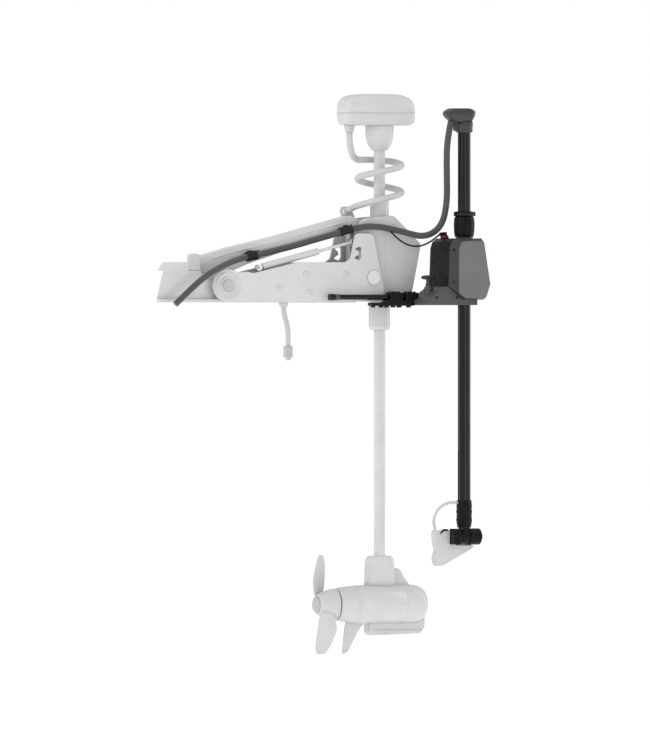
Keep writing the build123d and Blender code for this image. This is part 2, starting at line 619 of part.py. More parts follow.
BOX_OUTLINE = [(548, 8), (609, 8), (619, 16), (631, 51), (612, 168), (603, BOX_TOP), (524, BOX_TOP),
               (511, 170), (505, 152),
               (501, 45)]
BOX_HOLLOW = [(550, 13), (607, 13), (614.5, 19), (625.5, 51), (607.5, 166), (600.5, 175), (526, 175),
              (515.5, 167), (510, 151),
              (506, 47.5)]
COVER_FACE = [(546, 12), (603, 12), (611, 20), (621, 52), (603, 164), (596, 172), (540, 172),
              (531, 165), (526, 152), (526, 27)]
COVER_HOLLOW = [(552, 24), (598, 24), (604, 32), (609, 54), (593, 156), (588, 160), (544, 160),
                (539, 156), (537, 150), (537, 38)]
with BuildPart() as drive_box:
    slab(BOX_OUTLINE, BOX_FAR, BOX_FAR - BOX_JOINT)
    slab(BOX_HOLLOW, BOX_FAR - BOX_WALL, BOX_FAR - BOX_WALL - BOX_JOINT, Mode.SUBTRACT)
    round_z(POLE_X, POLE_Y, 24, 0, 200, Mode.SUBTRACT)
save(drive_box, "drive_box")

with BuildPart() as drive_cover:
    with BuildSketch(side_plane(BOX_JOINT)) as cover_back:
        with BuildLine():
            Polyline(*BOX_OUTLINE, close=True)
        make_face()
    with BuildSketch(side_plane(BOX_NEAR)) as cover_front:
        with BuildLine():
            Polyline(*COVER_FACE, close=True)
        make_face()
    loft([cover_back.sketch.face(), cover_front.sketch.face()], ruled=True)
    slab(COVER_HOLLOW, BOX_JOINT, 13, Mode.SUBTRACT)
save(drive_cover, "drive_cover")

POLE_TEETH, DRIVE_TEETH = 40, 16
DRIVE_Y = POLE_Y - GEAR_MODULE * (POLE_TEETH + DRIVE_TEETH) / 2
with BuildPart() as pole_motor:
    round_z(POLE_X, DRIVE_Y, 15, 62, 70)
    round_z(POLE_X, DRIVE_Y, 4, 58.5, 4)
    block(558, 596, -219.5, -206, 70, 110)
save(pole_motor, "pole_motor")

with BuildPart() as drive_pinion:
    spur_gear(GEAR_MODULE, DRIVE_TEETH, 90 + 180 / DRIVE_TEETH, POLE_X, DRIVE_Y, 36, 22)
save(drive_pinion, "drive_pinion")

with BuildPart() as pole_gear:
    spur_gear(GEAR_MODULE, POLE_TEETH, 0, POLE_X, POLE_Y, 38, 16)
    round_z(POLE_X, POLE_Y, 24, 17, 21)
    round_z(POLE_X, POLE_Y, POLE_R + RUN_GAP, 0, 200, Mode.SUBTRACT)
save(pole_gear, "pole_gear")

with BuildPart() as pole_collar:
    turned([(20, 184.5), (27, 184.5), (29, 200), (29.5, 222), (27, 244), (25, 256), (20, 256)], POLE_X,
           POLE_Y)
save(pole_collar, "pole_collar")

with BuildPart() as clamp_knob:
    turned([(0, 44.5), (9, 44.5), (8, 52), (7, 62), (7, 66), (0, 66)], KNOB_X, KNOB_Y)
    block(KNOB_X - 22, KNOB_X + 22, KNOB_Y - 8, KNOB_Y + 8, 64, 77)
save(clamp_knob, "clamp_knob")

with BuildPart() as cable_elbow:
    round_z(534, -112, 9, 180, 10)
    round_z(534, -112, 7, 190, 8)
    round_x(-112, 192, 5, 520, 12)
save(cable_elbow, "cable_elbow")

# ================================================================ sonar pole
CAP = [(513, 536), (524, 545), (604, 546), (614, 527), (608, 514), (590, 508), (556, 508), (530, 514),
       (514, 526)]
with BuildPart() as pole_cap:
    slab(CAP, -126, 48)
    turned([(0, 477), (24, 477), (25, 500), (24, 509), (0, 509)], POLE_X, POLE_Y)
    block(545, 556, -158, -142, 480, 509)
    round_z(POLE_X, POLE_Y, POLE_R + 0.3, 470, 32, Mode.SUBTRACT)
save(pole_cap, "pole_cap")

with BuildPart() as pole_tube:
    round_z(POLE_X, POLE_Y, POLE_R, -600, 1100)
    round_z(POLE_X, POLE_Y, POLE_R - 3, -600, 1100, Mode.SUBTRACT)
    block(555, 570, -153, -147, -572, -415, Mode.SUBTRACT)
save(pole_tube, "pole_tube")

with BuildPart() as pole_foot:
    turned([(POLE_R, -575), (21.5, -575), (21.5, -618), (19, -631), (0, -631), (0, -600),
            (POLE_R, -600)], POLE_X, POLE_Y)
    block(567, 587, POLE_Y - 16, POLE_Y + 16, TILT_AXIS_Z, -631)
    round_x(POLE_Y, TILT_AXIS_Z, 20, 567, 20)
    round_x(POLE_Y, TILT_AXIS_Z, 6 + RUN_GAP, 560, 40, Mode.SUBTRACT)
save(pole_foot, "pole_foot")

with BuildPart() as tilt_bracket:
    block(534, 553, -178, -146.3, -678, -634)
    round_x(POLE_Y, TILT_AXIS_Z, 20, 553, 13)
    round_y(544, TILT_AXIS_Z, 9, -178, 6)
    round_x(POLE_Y, TILT_AXIS_Z, 6, 566, 58)
save(tilt_bracket, "tilt_bracket")

with BuildPart() as transducer:
    slab([(490, -645), (495, -637), (552, -637), (552, -681), (609, -681), (604, -690), (515, -737),
          (500, -739), (493, -730), (491, -716), (497, -694), (491, -670)], -116.3, 30)
    slab([(550, -683), (550, -672), (603, -672), (609, -683)], -118, 15)
save(transducer, "transducer")

with BuildPart() as tilt_knob:
    round_x(POLE_Y, TILT_AXIS_Z, 23, 588.5, 34)
    round_x(POLE_Y, TILT_AXIS_Z, 15, 622.5, 5)
    round_x(POLE_Y, TILT_AXIS_Z, 6 + RUN_GAP, 580, 44.2, Mode.SUBTRACT)
save(tilt_knob, "tilt_knob")

# ================================================================ free hoses and leads
HOSE_DIA = 18.0
HOSE_UPPER_ROUTE = ((537, -150, 511), (530, -149, 480), (525, -147, 437), (526, -143, 392),
                    (529, -138, 345),
                    (532, -133, 300), (531, -127, 264), (526.5, -121, 232.5), (514, -116, 208.5),
                    (492.5, -111, 192), (466, -106, 186), (439, -99, 191.5), (415.4, -90.4, 198.6),
                    (392, -85, 204))
HOSE_LOWER_ROUTE = ((392, -85, 204), (366, -79, 210), (334, -75, 213.5), (303, -68, 212.5),
                    (274, -55, 207), (246, -42, 198), (215, -34.5, 188), (175, -32.5, 177.5),
                    (133, -32, 166), (92, -32.5, 155.5), (50, -33, 146), (10, -34, 137.5),
                    (-28, -38, 130.5), (-62, -47, 124), (-94, -59, 115.5), (-125, -71, 105),
                    (-155, -81, 92.5), (-186, -88, 77), (-214, -93, 58.5), (-240, -96.5, 38),
                    (-266, -99, 16), (-291, -101, -5.5))
print("hose_upper")
hose_upper = tube_route(HOSE_UPPER_ROUTE, HOSE_DIA)
save(hose_upper, "hose_upper")
print("hose_lower")
hose_lower = tube_route(HOSE_LOWER_ROUTE, HOSE_DIA)
save(hose_lower, "hose_lower")

THIN_ROUTE = ((377, -91, 199), (390, -90, 187), (407, -89, 174), (428, -92, 162), (452, -95, 157),
              (476, -98, 161), (497, -103, 172), (511, -108, 184), (520, -112, 192))
print("sensor_lead")
sensor_lead = tube_route(THIN_ROUTE, 5.0)
save(sensor_lead, "sensor_lead")

TRANSDUCER_ROUTE = ((559, -150, -562), (540, -149, -559), (518, -146, -565), (499, -141, -580),
                    (490, -135, -603), (490.5, -131, -621), (496, -131, -635.5))
print("transducer_lead")
transducer_lead = tube_route(TRANSDUCER_ROUTE, 8.0)
save(transducer_lead, "transducer_lead")

with BuildPart() as hose_straps:
    for cx, cz in ((260, 200), (-14, 131)):
        slab([(cx - 16, cz - 16), (cx + 16, cz - 8), (cx + 16, cz + 16), (cx - 16, cz + 8)],
             -BEAM_HALF, 3)
save(hose_straps, "hose_straps")
print(len(os.listdir("parts")), "STEP files")
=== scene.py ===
import json
import math

import bmesh
import bpy
from mathutils import Matrix, Vector


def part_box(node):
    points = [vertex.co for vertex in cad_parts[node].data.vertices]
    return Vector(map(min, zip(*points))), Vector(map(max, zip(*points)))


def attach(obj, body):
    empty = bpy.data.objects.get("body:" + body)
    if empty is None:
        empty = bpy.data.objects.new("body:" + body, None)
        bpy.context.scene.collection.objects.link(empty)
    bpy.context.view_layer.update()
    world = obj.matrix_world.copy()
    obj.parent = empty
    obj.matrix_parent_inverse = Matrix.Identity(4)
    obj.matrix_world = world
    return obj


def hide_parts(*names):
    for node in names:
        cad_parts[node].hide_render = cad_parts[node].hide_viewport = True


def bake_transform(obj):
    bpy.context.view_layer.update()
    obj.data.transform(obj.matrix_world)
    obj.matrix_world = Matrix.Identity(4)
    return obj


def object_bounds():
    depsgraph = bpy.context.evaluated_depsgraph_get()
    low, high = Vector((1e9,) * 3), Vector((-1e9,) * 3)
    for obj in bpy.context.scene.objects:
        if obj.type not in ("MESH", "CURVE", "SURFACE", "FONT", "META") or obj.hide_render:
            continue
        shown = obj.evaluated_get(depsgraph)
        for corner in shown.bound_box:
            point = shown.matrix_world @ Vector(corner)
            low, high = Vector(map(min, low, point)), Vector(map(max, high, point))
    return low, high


# A bow-mount trolling motor with its steerable sonar pole. Everything is in metres in the frame of
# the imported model: +X points over the bow, +Y across the boat and +Z up, from the deck bolts.

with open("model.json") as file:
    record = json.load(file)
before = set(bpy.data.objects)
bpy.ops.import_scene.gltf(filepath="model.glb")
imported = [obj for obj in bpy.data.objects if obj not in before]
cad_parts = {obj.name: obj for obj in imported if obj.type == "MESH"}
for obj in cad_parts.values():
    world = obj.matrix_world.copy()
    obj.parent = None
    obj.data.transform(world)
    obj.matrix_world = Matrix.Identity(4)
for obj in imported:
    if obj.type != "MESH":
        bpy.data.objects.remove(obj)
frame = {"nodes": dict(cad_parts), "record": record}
cad_low, cad_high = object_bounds()
nodes = frame["nodes"]
slot_of = {part["node"]: part["material_slot"] for part in frame["record"]["subparts"]}
joints = {joint["name"]: joint for joint in frame["record"]["behaviour"]["joints"]}
MM = 0.001

# The axes that several pieces share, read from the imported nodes.
shaft_low, shaft_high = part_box("shaft_tube")
SHAFT = Vector(((shaft_low.x + shaft_high.x) / 2, 0, 0))
pole_low, pole_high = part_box("pole_tube")
POLE = Vector(((pole_low.x + pole_high.x) / 2, (pole_low.y + pole_high.y) / 2, 0))
box_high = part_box("drive_box")[1]


# ---------------------------------------------------------------- materials
def principled(name, colour, roughness, metallic=0.0):
    """A new material, its node tree and its shader."""
    material = bpy.data.materials.new(name)
    material.use_nodes = True
    tree = material.node_tree
    shader = tree.nodes["Principled BSDF"]
    shader.inputs["Base Color"].default_value = (*colour, 1)
    shader.inputs["Roughness"].default_value = roughness
    shader.inputs["Metallic"].default_value = metallic
    return material, tree, shader


def noise(tree, source, size, detail=3.0, stretch=(1, 1, 1)):
    """Noise whose features are about `size` metres across, stretched along the axes."""
    mapping = tree.nodes.new("ShaderNodeMapping")
    mapping.inputs["Scale"].default_value = stretch
    texture = tree.nodes.new("ShaderNodeTexNoise")
    texture.inputs["Scale"].default_value = 1 / size
    texture.inputs["Detail"].default_value = detail
    tree.links.new(source, mapping.inputs["Vector"])
    tree.links.new(mapping.outputs["Vector"], texture.inputs["Vector"])
    return texture.outputs["Fac"]


def remap(tree, value, low, high, from_low=0.3, from_high=0.7):
    """The value moved from one range to another, held at its ends."""
    node = tree.nodes.new("ShaderNodeMapRange")
    node.inputs["From Min"].default_value = from_low
    node.inputs["From Max"].default_value = from_high
    node.inputs["To Min"].default_value = low
    node.inputs["To Max"].default_value = high
    tree.links.new(value, node.inputs["Value"])
    return node.outputs["Result"]


def mix_colours(tree, factor, first, second):
    """A blend of two colours, each a tuple or a socket."""
    node = tree.nodes.new("ShaderNodeMix")
    node.data_type = "RGBA"
    tree.links.new(factor, node.inputs["Factor"])
    for side, colour in (("A", first), ("B", second)):
        socket = [s for s in node.inputs if s.name == side and s.type == "RGBA"][0]
        if isinstance(colour, tuple):
            socket.default_value = (*colour, 1)
        else:
            tree.links.new(colour, socket)
    return [s for s in node.outputs if s.type == "RGBA"][0]


def add_bump(tree, shader, height, depth, strength=1.0):
    """Raises the surface by a height of up to `depth` metres."""
    bump = tree.nodes.new("ShaderNodeBump")
    bump.inputs["Strength"].default_value = strength
    bump.inputs["Distance"].default_value = depth
    tree.links.new(height, bump.inputs["Height"])
    tree.links.new(bump.outputs["Normal"], shader.inputs["Normal"])


def edge_mask(tree, width):
    """White on convex and concave edges, from how far a rounded normal leaves the true one."""
    bevel = tree.nodes.new("ShaderNodeBevel")
    bevel.samples = 4
    bevel.inputs["Radius"].default_value = width
    geometry = tree.nodes.new("ShaderNodeNewGeometry")
    dot = tree.nodes.new("ShaderNodeVectorMath")
    dot.operation = "DOT_PRODUCT"
    tree.links.new(bevel.outputs["Normal"], dot.inputs[0])
    tree.links.new(geometry.outputs["Normal"], dot.inputs[1])
    return remap(tree, dot.outputs["Value"], 1, 0, 0.72, 0.99)


def moulded(name, colour, roughness, grain=0.0009, depth=0.00006, metallic=0.0, edge=1.25,
            mottle=0.05, patch=0.06, stretch=(1, 1, 1), coat=0.0, shine=0.5):
    """Painted or moulded stock: fine grain, soft mottling, uneven gloss, and edges lightened by the factor `edge`,
    partly as wear from handling and partly as a painted highlight.
    """
    material, tree, shader = principled(name, colour, roughness, metallic)
    place = tree.nodes.new("ShaderNodeTexCoord").outputs["Object"]
    dark = tuple(c * (1 - mottle) for c in colour)
    light = tuple(min(1, c * (1 + mottle)) for c in colour)
    # Painted highlight and wear: on every edge the mask finds, the colour becomes the body colour times `edge`.
    worn_and_highlit = tuple(min(1, c * edge) for c in colour)
    cloud = remap(tree, noise(tree, place, patch, 4, stretch), 0, 1)
    body = mix_colours(tree, cloud, dark, light)
    rubbed_and_highlit = mix_colours(tree, edge_mask(tree, 0.0016), body, worn_and_highlit)
    tree.links.new(rubbed_and_highlit, shader.inputs["Base Color"])
    gloss = noise(tree, place, patch / 4, 5, stretch)
    tree.links.new(remap(tree, gloss, roughness - 0.06, roughness + 0.08), shader.inputs["Roughness"])
    add_bump(tree, shader, noise(tree, place, grain, 2, stretch), depth)
    shader.inputs["Coat Weight"].default_value = coat
    shader.inputs["Coat Roughness"].default_value = 0.2
    shader.inputs["Specular IOR Level"].default_value = shine
    return material


def braided(name, colour, light, turns, pitch):
    """A woven sleeve: two sets of strands that cross, laid out on the tube's own UV map. The strands' crests take
    the lighter colour and the gaps between them the darker one, a painted sheen on the crests and painted shade in
    the gaps.
    """
    material, tree, shader = principled(name, colour, 0.5)
    place = tree.nodes.new("ShaderNodeUVMap").outputs["UV"]
    heights = []
    for lean in (1, -1):
        split = tree.nodes.new("ShaderNodeSeparateXYZ")
        tree.links.new(place, split.inputs["Vector"])
        across = tree.nodes.new("ShaderNodeMath")
        across.operation = "MULTIPLY"
        across.inputs[1].default_value = lean * turns * 2 * math.pi
        tree.links.new(split.outputs["X"], across.inputs[0])
        phase = tree.nodes.new("ShaderNodeMath")
        phase.operation = "MULTIPLY_ADD"
        phase.inputs[1].default_value = 2 * math.pi / pitch
        tree.links.new(split.outputs["Y"], phase.inputs[0])
        tree.links.new(across.outputs["Value"], phase.inputs[2])
        wave = tree.nodes.new("ShaderNodeMath")
        wave.operation = "SINE"
        tree.links.new(phase.outputs["Value"], wave.inputs[0])
        heights.append(wave.outputs["Value"])
    woven = tree.nodes.new("ShaderNodeMath")
    woven.operation = "MAXIMUM"
    tree.links.new(heights[0], woven.inputs[0])
    tree.links.new(heights[1], woven.inputs[1])
    strands = remap(tree, woven.outputs["Value"], 0, 1, -0.6, 1)
    # Painted sheen and shade: a lighter colour on the raised strands, near black in the gaps between them.
    tree.links.new(mix_colours(tree, strands, colour, light), shader.inputs["Base Color"])
    add_bump(tree, shader, strands, 0.0004, 0.8)
    shader.inputs["Sheen Weight"].default_value = 0.25
    return material


def make_finishes():
    """One procedural material for each material slot of the record, and a few of the looks' own."""
    finish = {
        "pale_cast": moulded("pale_cast", (0.545, 0.548, 0.552), 0.36, 0.0012, 0.00008, 0, 1.2, 0.03,
                             coat=0.3),
        "pale_plastic": moulded("pale_plastic", (0.53, 0.533, 0.537), 0.4, 0.0007, 0.00004, 0, 1.18,
                                0.025),
        "pale_dark": moulded("pale_dark", (0.42, 0.423, 0.427), 0.5, 0.001, 0.00006, 0, 1.2, 0.03),
        "pale_rubber": moulded("pale_rubber", (0.5, 0.503, 0.507), 0.6, 0.0005, 0.00006, 0, 1.1, 0.04),
        "steel": moulded("steel", (0.6, 0.61, 0.62), 0.32, 0.0004, 0.00003, 0.7, 1.15, 0.04, 0.02,
                         (1, 1, 9)),
        # The black stocks take large edge factors, so their lightened edges are mostly a painted highlight.
        "black_plastic": moulded("black_plastic", (0.004, 0.004, 0.0045), 0.38, 0.0008, 0.00012, 0,
                                 7.0, 0.25,
                                 shine=0.13),
        "grey_plastic": moulded("grey_plastic", (0.1, 0.102, 0.105), 0.42, 0.0008, 0.0001, 0, 1.5, 0.08,
                                shine=0.35),
        "black_rubber": moulded("black_rubber", (0.009, 0.009, 0.01), 0.55, 0.0005, 0.0001, 0, 3.0, 0.2,
                                shine=0.25),
        "black_anodised": moulded("black_anodised", (0.003, 0.003, 0.0035), 0.17, 0.0003, 0.00001, 0,
                                  4.0,
                                  0.15, 0.02, (1, 1, 0.05), shine=0.3),
        "bush": moulded("bush", (0.8, 0.79, 0.76), 0.5, 0.0006, 0.00004, 0, 1.05, 0.03),
        "board": moulded("board", (0.03, 0.16, 0.08), 0.45, 0.0008, 0.00008, 0, 1.3, 0.15, 0.012),
        "copper": moulded("copper", (0.7, 0.38, 0.2), 0.35, 0.0006, 0.00012, 0.9, 1.1, 0.12, 0.004,
                          (1, 1, 6)),
    }
    finish["hose"] = braided("hose", (0.005, 0.005, 0.0055), (0.062, 0.063, 0.066), 10, 0.0068)
    finish["red_seal"] = moulded("red_seal", (0.09, 0.006, 0.012), 0.5, 0.0005, 0.00005)
    # A lighter grey for the cover's flat front: painted light for the lit face of the cover.
    finish["box_front_painted_lit"] = moulded("box_front_painted_lit", (0.135, 0.137, 0.14), 0.5, 0.0009, 0.00012, 0, 1.3,
                                  0.06, shine=0.3)
    finish["box_border"] = moulded("box_border", (0.035, 0.036, 0.038), 0.42, 0.0009, 0.0001, 0, 2.0,
                                   0.1,
                                   shine=0.3)
    finish["foot_grey"] = moulded("foot_grey", (0.066, 0.067, 0.07), 0.45, 0.0008, 0.0001, 0, 1.6, 0.08,
                                  shine=0.3)
    finish["cap_grey"] = moulded("cap_grey", (0.036, 0.037, 0.039), 0.36, 0.0008, 0.0001, 0, 2.2, 0.1,
                                 shine=0.35)
    return finish


finishes = make_finishes()


# ---------------------------------------------------------------- mesh helpers
def dress(piece, slot, finish=None, smooth=True):
    """Gives a piece the material for its record slot, or the finish named instead."""
    piece.data.materials.clear()
    piece.data.materials.append(finishes[finish or slot])
    if smooth and piece.type == "MESH":
        for face in piece.data.polygons:
            face.use_smooth = True


def new_mesh(name, points, faces):
    """A new mesh object in the scene."""
    mesh = bpy.data.meshes.new(name)
    mesh.from_pydata([tuple(p) for p in points], [], faces)
    mesh.update()
    piece = bpy.data.objects.new(name, mesh)
    bpy.context.scene.collection.objects.link(piece)
    return piece


def apply_modifiers(piece):
    """Replaces a piece's mesh by the one its modifiers make."""
    graph = bpy.context.evaluated_depsgraph_get()
    made = bpy.data.meshes.new_from_object(piece.evaluated_get(graph))
    piece.modifiers.clear()
    piece.data = made


def round_edges(piece, width, segments=2, angle=28):
    """Rounds every sharp edge of a piece."""
    bevel = piece.modifiers.new("edges", "BEVEL")
    bevel.width = width
    bevel.segments = segments
    bevel.limit_method = "ANGLE"
    bevel.angle_limit = math.radians(angle)
    bevel.harden_normals = True
    bevel.use_clamp_overlap = True
    flatten = piece.modifiers.new("flat_faces", "WEIGHTED_NORMAL")
    flatten.mode = "FACE_AREA"
    flatten.weight = 100
    for face in piece.data.polygons:
        face.use_smooth = True
    apply_modifiers(piece)


def rounded_copy(node, width, segments=2, angle=28):
    """A CAD node's own shape with its edges rounded, standing for that node."""
    mesh = nodes[node].data.copy()
    shape = bmesh.new()
    shape.from_mesh(mesh)
    bmesh.ops.remove_doubles(shape, verts=shape.verts, dist=0.00002)
    bmesh.ops.dissolve_limit(shape, angle_limit=math.radians(0.8), verts=shape.verts, edges=shape.edges)
    shape.to_mesh(mesh)
    shape.free()
    piece = bpy.data.objects.new(node + "_body", mesh)
    bpy.context.scene.collection.objects.link(piece)
    round_edges(piece, width, segments, angle)
    return piece


def body_of(node):
    """The body that a CAD node belongs to."""
    return next(b for b, names in frame["record"]["behaviour"]["bodies"].items() if node in names)


def stand_for(piece, *names):
    """A piece rides on the body of the CAD nodes that it replaces."""
    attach(piece, body_of(names[0]))
    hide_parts(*names)


def ring_faces(rings, sides, closed_ends=True):
    """The faces between consecutive rings of points, with a fan-free cap at each end."""
    faces = []
    for ring in range(rings - 1):
        for side in range(sides):
            after = (side + 1) % sides
            faces.append((ring * sides + side, ring * sides + after,
                          (ring + 1) * sides + after, (ring + 1) * sides + side))
    if closed_ends:
        faces.append(tuple(reversed(range(sides))))
        faces.append(tuple((rings - 1) * sides + side for side in range(sides)))
    return faces


def turned(name, profile, origin, axis=(0, 0, 1), sides=48, flutes=0, flute_depth=0.0):
    """A solid turned about an axis through the origin, from (distance along, radius) pairs, in metres.
    A third number in a pair is how deep the flutes are there, from 0 to 1."""
    turn = Vector(axis).to_track_quat("Z", "Y")
    points = []
    for along, radius, *fluted in profile:
        cut = flute_depth * (fluted[0] if fluted else 0)
        for side in range(sides):
            angle = 2 * math.pi * side / sides
            dip = cut * (0.5 - 0.5 * math.cos(flutes * angle)) ** 3
            local = Vector(((radius - dip) * math.cos(angle), (radius - dip) * math.sin(angle), along))
            points.append(Vector(origin) + turn @ local)
    return new_mesh(name, points, ring_faces(len(profile), sides))


def slab_piece(name, outline, y_low, y_high, edge=0.001, segments=2):
    """A plate with rounded edges: an outline in X and Z in metres, between two Y levels."""
    count = len(outline)
    points = [(x, y_low, z) for x, z in outline] + [(x, y_high, z) for x, z in outline]
    faces = [tuple(range(count)), tuple(reversed(range(count, 2 * count)))]
    faces += [(k, k + count, (k + 1) % count + count, (k + 1) % count) for k in range(count)]
    piece = new_mesh(name, points, faces)
    fix = bmesh.new()
    fix.from_mesh(piece.data)
    bmesh.ops.recalc_face_normals(fix, faces=fix.faces)
    fix.to_mesh(piece.data)
    fix.free()
    round_edges(piece, edge, segments)
    return piece


def join(name, pieces):
    """One object from several meshes."""
    joined = bmesh.new()
    for piece in pieces:
        joined.from_mesh(piece.data)
        bpy.data.objects.remove(piece)
    mesh = bpy.data.meshes.new(name)
    joined.to_mesh(mesh)
    joined.free()
    made = bpy.data.objects.new(name, mesh)
    bpy.context.scene.collection.objects.link(made)
    return made


def socket_screw(place, axis, radius, height):
    """A round-headed screw with a hexagon socket, standing on a point along an axis."""
    sides = 36
    turn = Vector(axis).to_track_quat("Z", "Y")
    rings = [(-0.2 * height, radius, 0), (0.55 * height, radius, 0), (0.85 * height, 0.9 * radius, 0),
             (height, 0.72 * radius, 0), (height, 0.5 * radius, 1), (0.9 * height, 0.46 * radius, 1),
             (0.35 * height, 0.45 * radius, 1)]
    points = []
    for along, reach, hexagonal in rings:
        for side in range(sides):
            angle = 2 * math.pi * side / sides
            flat = math.cos(math.pi / 6) / math.cos(angle % (math.pi / 3) - math.pi / 6)
            share = flat if hexagonal else 1.0
            local = Vector((reach * share * math.cos(angle), reach * share * math.sin(angle), along))
            points.append(Vector(place) + turn @ local)
    return new_mesh("screw", points, ring_faces(len(rings), sides))


def solids_of(node):
    """The lowest and highest corner of each separate solid of a CAD node."""
    shape = bmesh.new()
    shape.from_mesh(nodes[node].data)
    bmesh.ops.remove_doubles(shape, verts=shape.verts, dist=0.00002)
    left = set(shape.verts)
    boxes = []
    while left:
        stack = [left.pop()]
        low, high = stack[0].co.copy(), stack[0].co.copy()
        while stack:
            vertex = stack.pop()
            low = Vector(map(min, low, vertex.co))
            high = Vector(map(max, high, vertex.co))
            for edge in vertex.link_edges:
                other = edge.other_vert(vertex)
                if other in left:
                    left.remove(other)
                    stack.append(other)
        boxes.append((low, high))
    shape.free()
    return sorted(boxes, key=lambda box: tuple(box[0]))


def add_piece(piece, body, slot, finish=None):
    """A piece that stands for no CAD node: its finish and the body that carries it."""
    dress(piece, slot, finish)
    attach(piece, body)


# ---------------------------------------------------------------- camera, lights and floor
CAMERA_AZIMUTH = math.radians(-25)
VIEW_HEIGHT = 2.1
AIM_RIGHT, AIM_UP = 0.196, -0.203
LENS, SENSOR = 1000.0, 36.0
WORLD_LIGHT = 0.69


def make_camera():
    """A long lens at the level of the object, from the near left of the bow."""
    right = Vector((math.cos(CAMERA_AZIMUTH), math.sin(CAMERA_AZIMUTH), 0))
    back = Vector((math.sin(CAMERA_AZIMUTH), -math.cos(CAMERA_AZIMUTH), 0))
    data = bpy.data.cameras.new("camera")
    data.lens = LENS
    data.sensor_width = SENSOR
    data.clip_end = 200
    camera = bpy.data.objects.new("camera", data)
    camera.location = right * AIM_RIGHT + Vector((0, 0, AIM_UP)) + back * (VIEW_HEIGHT * LENS / SENSOR)
    camera.rotation_mode = "QUATERNION"
    camera.rotation_quaternion = (-back).to_track_quat("-Z", "Y")
    bpy.context.scene.collection.objects.link(camera)
    bpy.context.scene.camera = camera
    return right, back


def make_light(name, place, aim, size, power):
    """A square soft box that looks at a point."""
    data = bpy.data.lights.new(name, "AREA")
    data.shape = "RECTANGLE"
    data.size, data.size_y = size
    data.energy = power
    light = bpy.data.objects.new(name, data)
    light.location = place
    light.rotation_mode = "QUATERNION"
    light.rotation_quaternion = (Vector(aim) - Vector(place)).to_track_quat("-Z", "Y")
    bpy.context.scene.collection.objects.link(light)


def make_studio(right, back):
    """A plain pale floor under the lowest part, a white surround and soft boxes."""
    floor_level = cad_low.z - 0.012
    reach = 60.0
    corners = [(-reach, -reach, floor_level), (reach, -reach, floor_level),
               (reach, reach, floor_level), (-reach, reach, floor_level)]
    floor = new_mesh("floor", corners, [(0, 1, 2, 3)])
    paint, _, shader = principled("floor_paint", (0.9, 0.9, 0.9), 0.8)
    shader.inputs["Specular IOR Level"].default_value = 0.0
    shader.inputs["Emission Color"].default_value = (1, 1, 1, 1)
    shader.inputs["Emission Strength"].default_value = 0.45
    floor.data.materials.append(paint)
    bpy.context.scene.world = make_world()
    bpy.context.scene.view_settings.view_transform = "Standard"
    aim = right * AIM_RIGHT + Vector((0, 0, AIM_UP + 0.2))
    left_front = aim + back * 2.4 - right * 2.2 + Vector((0, 0, 1.4))
    make_light("key", left_front, aim, (1.4, 1.8), 28)
    make_light("top", aim + back * 0.4 + Vector((0, 0, 2.4)), aim, (2.2, 2.2), 14)
    make_light("rim", aim - back * 0.6 + right * 2.4 + Vector((0, 0, 0.6)), aim, (0.7, 2.4), 16)
    make_light("edge", aim - back * 0.3 - right * 2.2 + Vector((0, 0, 0.2)), aim, (0.5, 2.6), 10)
    make_light("fill", aim + back * 2.4 + right * 1.6 - Vector((0, 0, 0.2)), aim, (1.6, 1.6), 9)


def make_world():
    """White where the camera sees it, and a softer, dimmer surround for the light that falls on things."""
    world = bpy.data.worlds.new("studio")
    world.use_nodes = True
    tree = world.node_tree
    seen = tree.nodes["Background"]
    seen.inputs["Color"].default_value = (1, 1, 1, 1)
    seen.inputs["Strength"].default_value = 1.0
    soft = tree.nodes.new("ShaderNodeBackground")
    soft.inputs["Color"].default_value = (1, 1, 1, 1)
    soft.inputs["Strength"].default_value = WORLD_LIGHT
    path = tree.nodes.new("ShaderNodeLightPath")
    mix = tree.nodes.new("ShaderNodeMixShader")
    tree.links.new(path.outputs["Is Camera Ray"], mix.inputs["Fac"])
    tree.links.new(soft.outputs["Background"], mix.inputs[1])
    tree.links.new(seen.outputs["Background"], mix.inputs[2])
    tree.links.new(mix.outputs["Shader"], tree.nodes["World Output"].inputs["Surface"])
    return world


right, back = make_camera()
make_studio(right, back)


# ---------------------------------------------------------------- cords
def route_curve(name, route):
    """A smooth open line with the route's points as its control points."""
    curve = bpy.data.curves.new(name, "CURVE")
    curve.dimensions = "3D"
    curve.resolution_u = 12
    spline = curve.splines.new("NURBS")
    spline.points.add(len(route) - 1)
    for point, (x, y, z) in zip(spline.points, route):
        point.co = (x * MM, y * MM, z * MM, 1)
    spline.order_u = 3
    spline.use_endpoint_u = True
    line = bpy.data.objects.new(name, curve)
    bpy.context.scene.collection.objects.link(line)
    return line


def line_points(line):
    """The points along a curve without thickness."""
    made = bpy.data.meshes.new_from_object(line)
    points = [v.co.copy() for v in made.vertices]
    bpy.data.meshes.remove(made)
    return points


def frames_along(points):
    """At each point, two directions across the line that don't twist along it."""
    ahead = [(b - a).normalized() for a, b in zip(points, points[1:])]
    ahead.append(ahead[-1])
    side = ahead[0].orthogonal().normalized()
    made = []
    for direction in ahead:
        side = (side - direction * side.dot(direction)).normalized()
        made.append((side.copy(), direction.cross(side)))
    return made


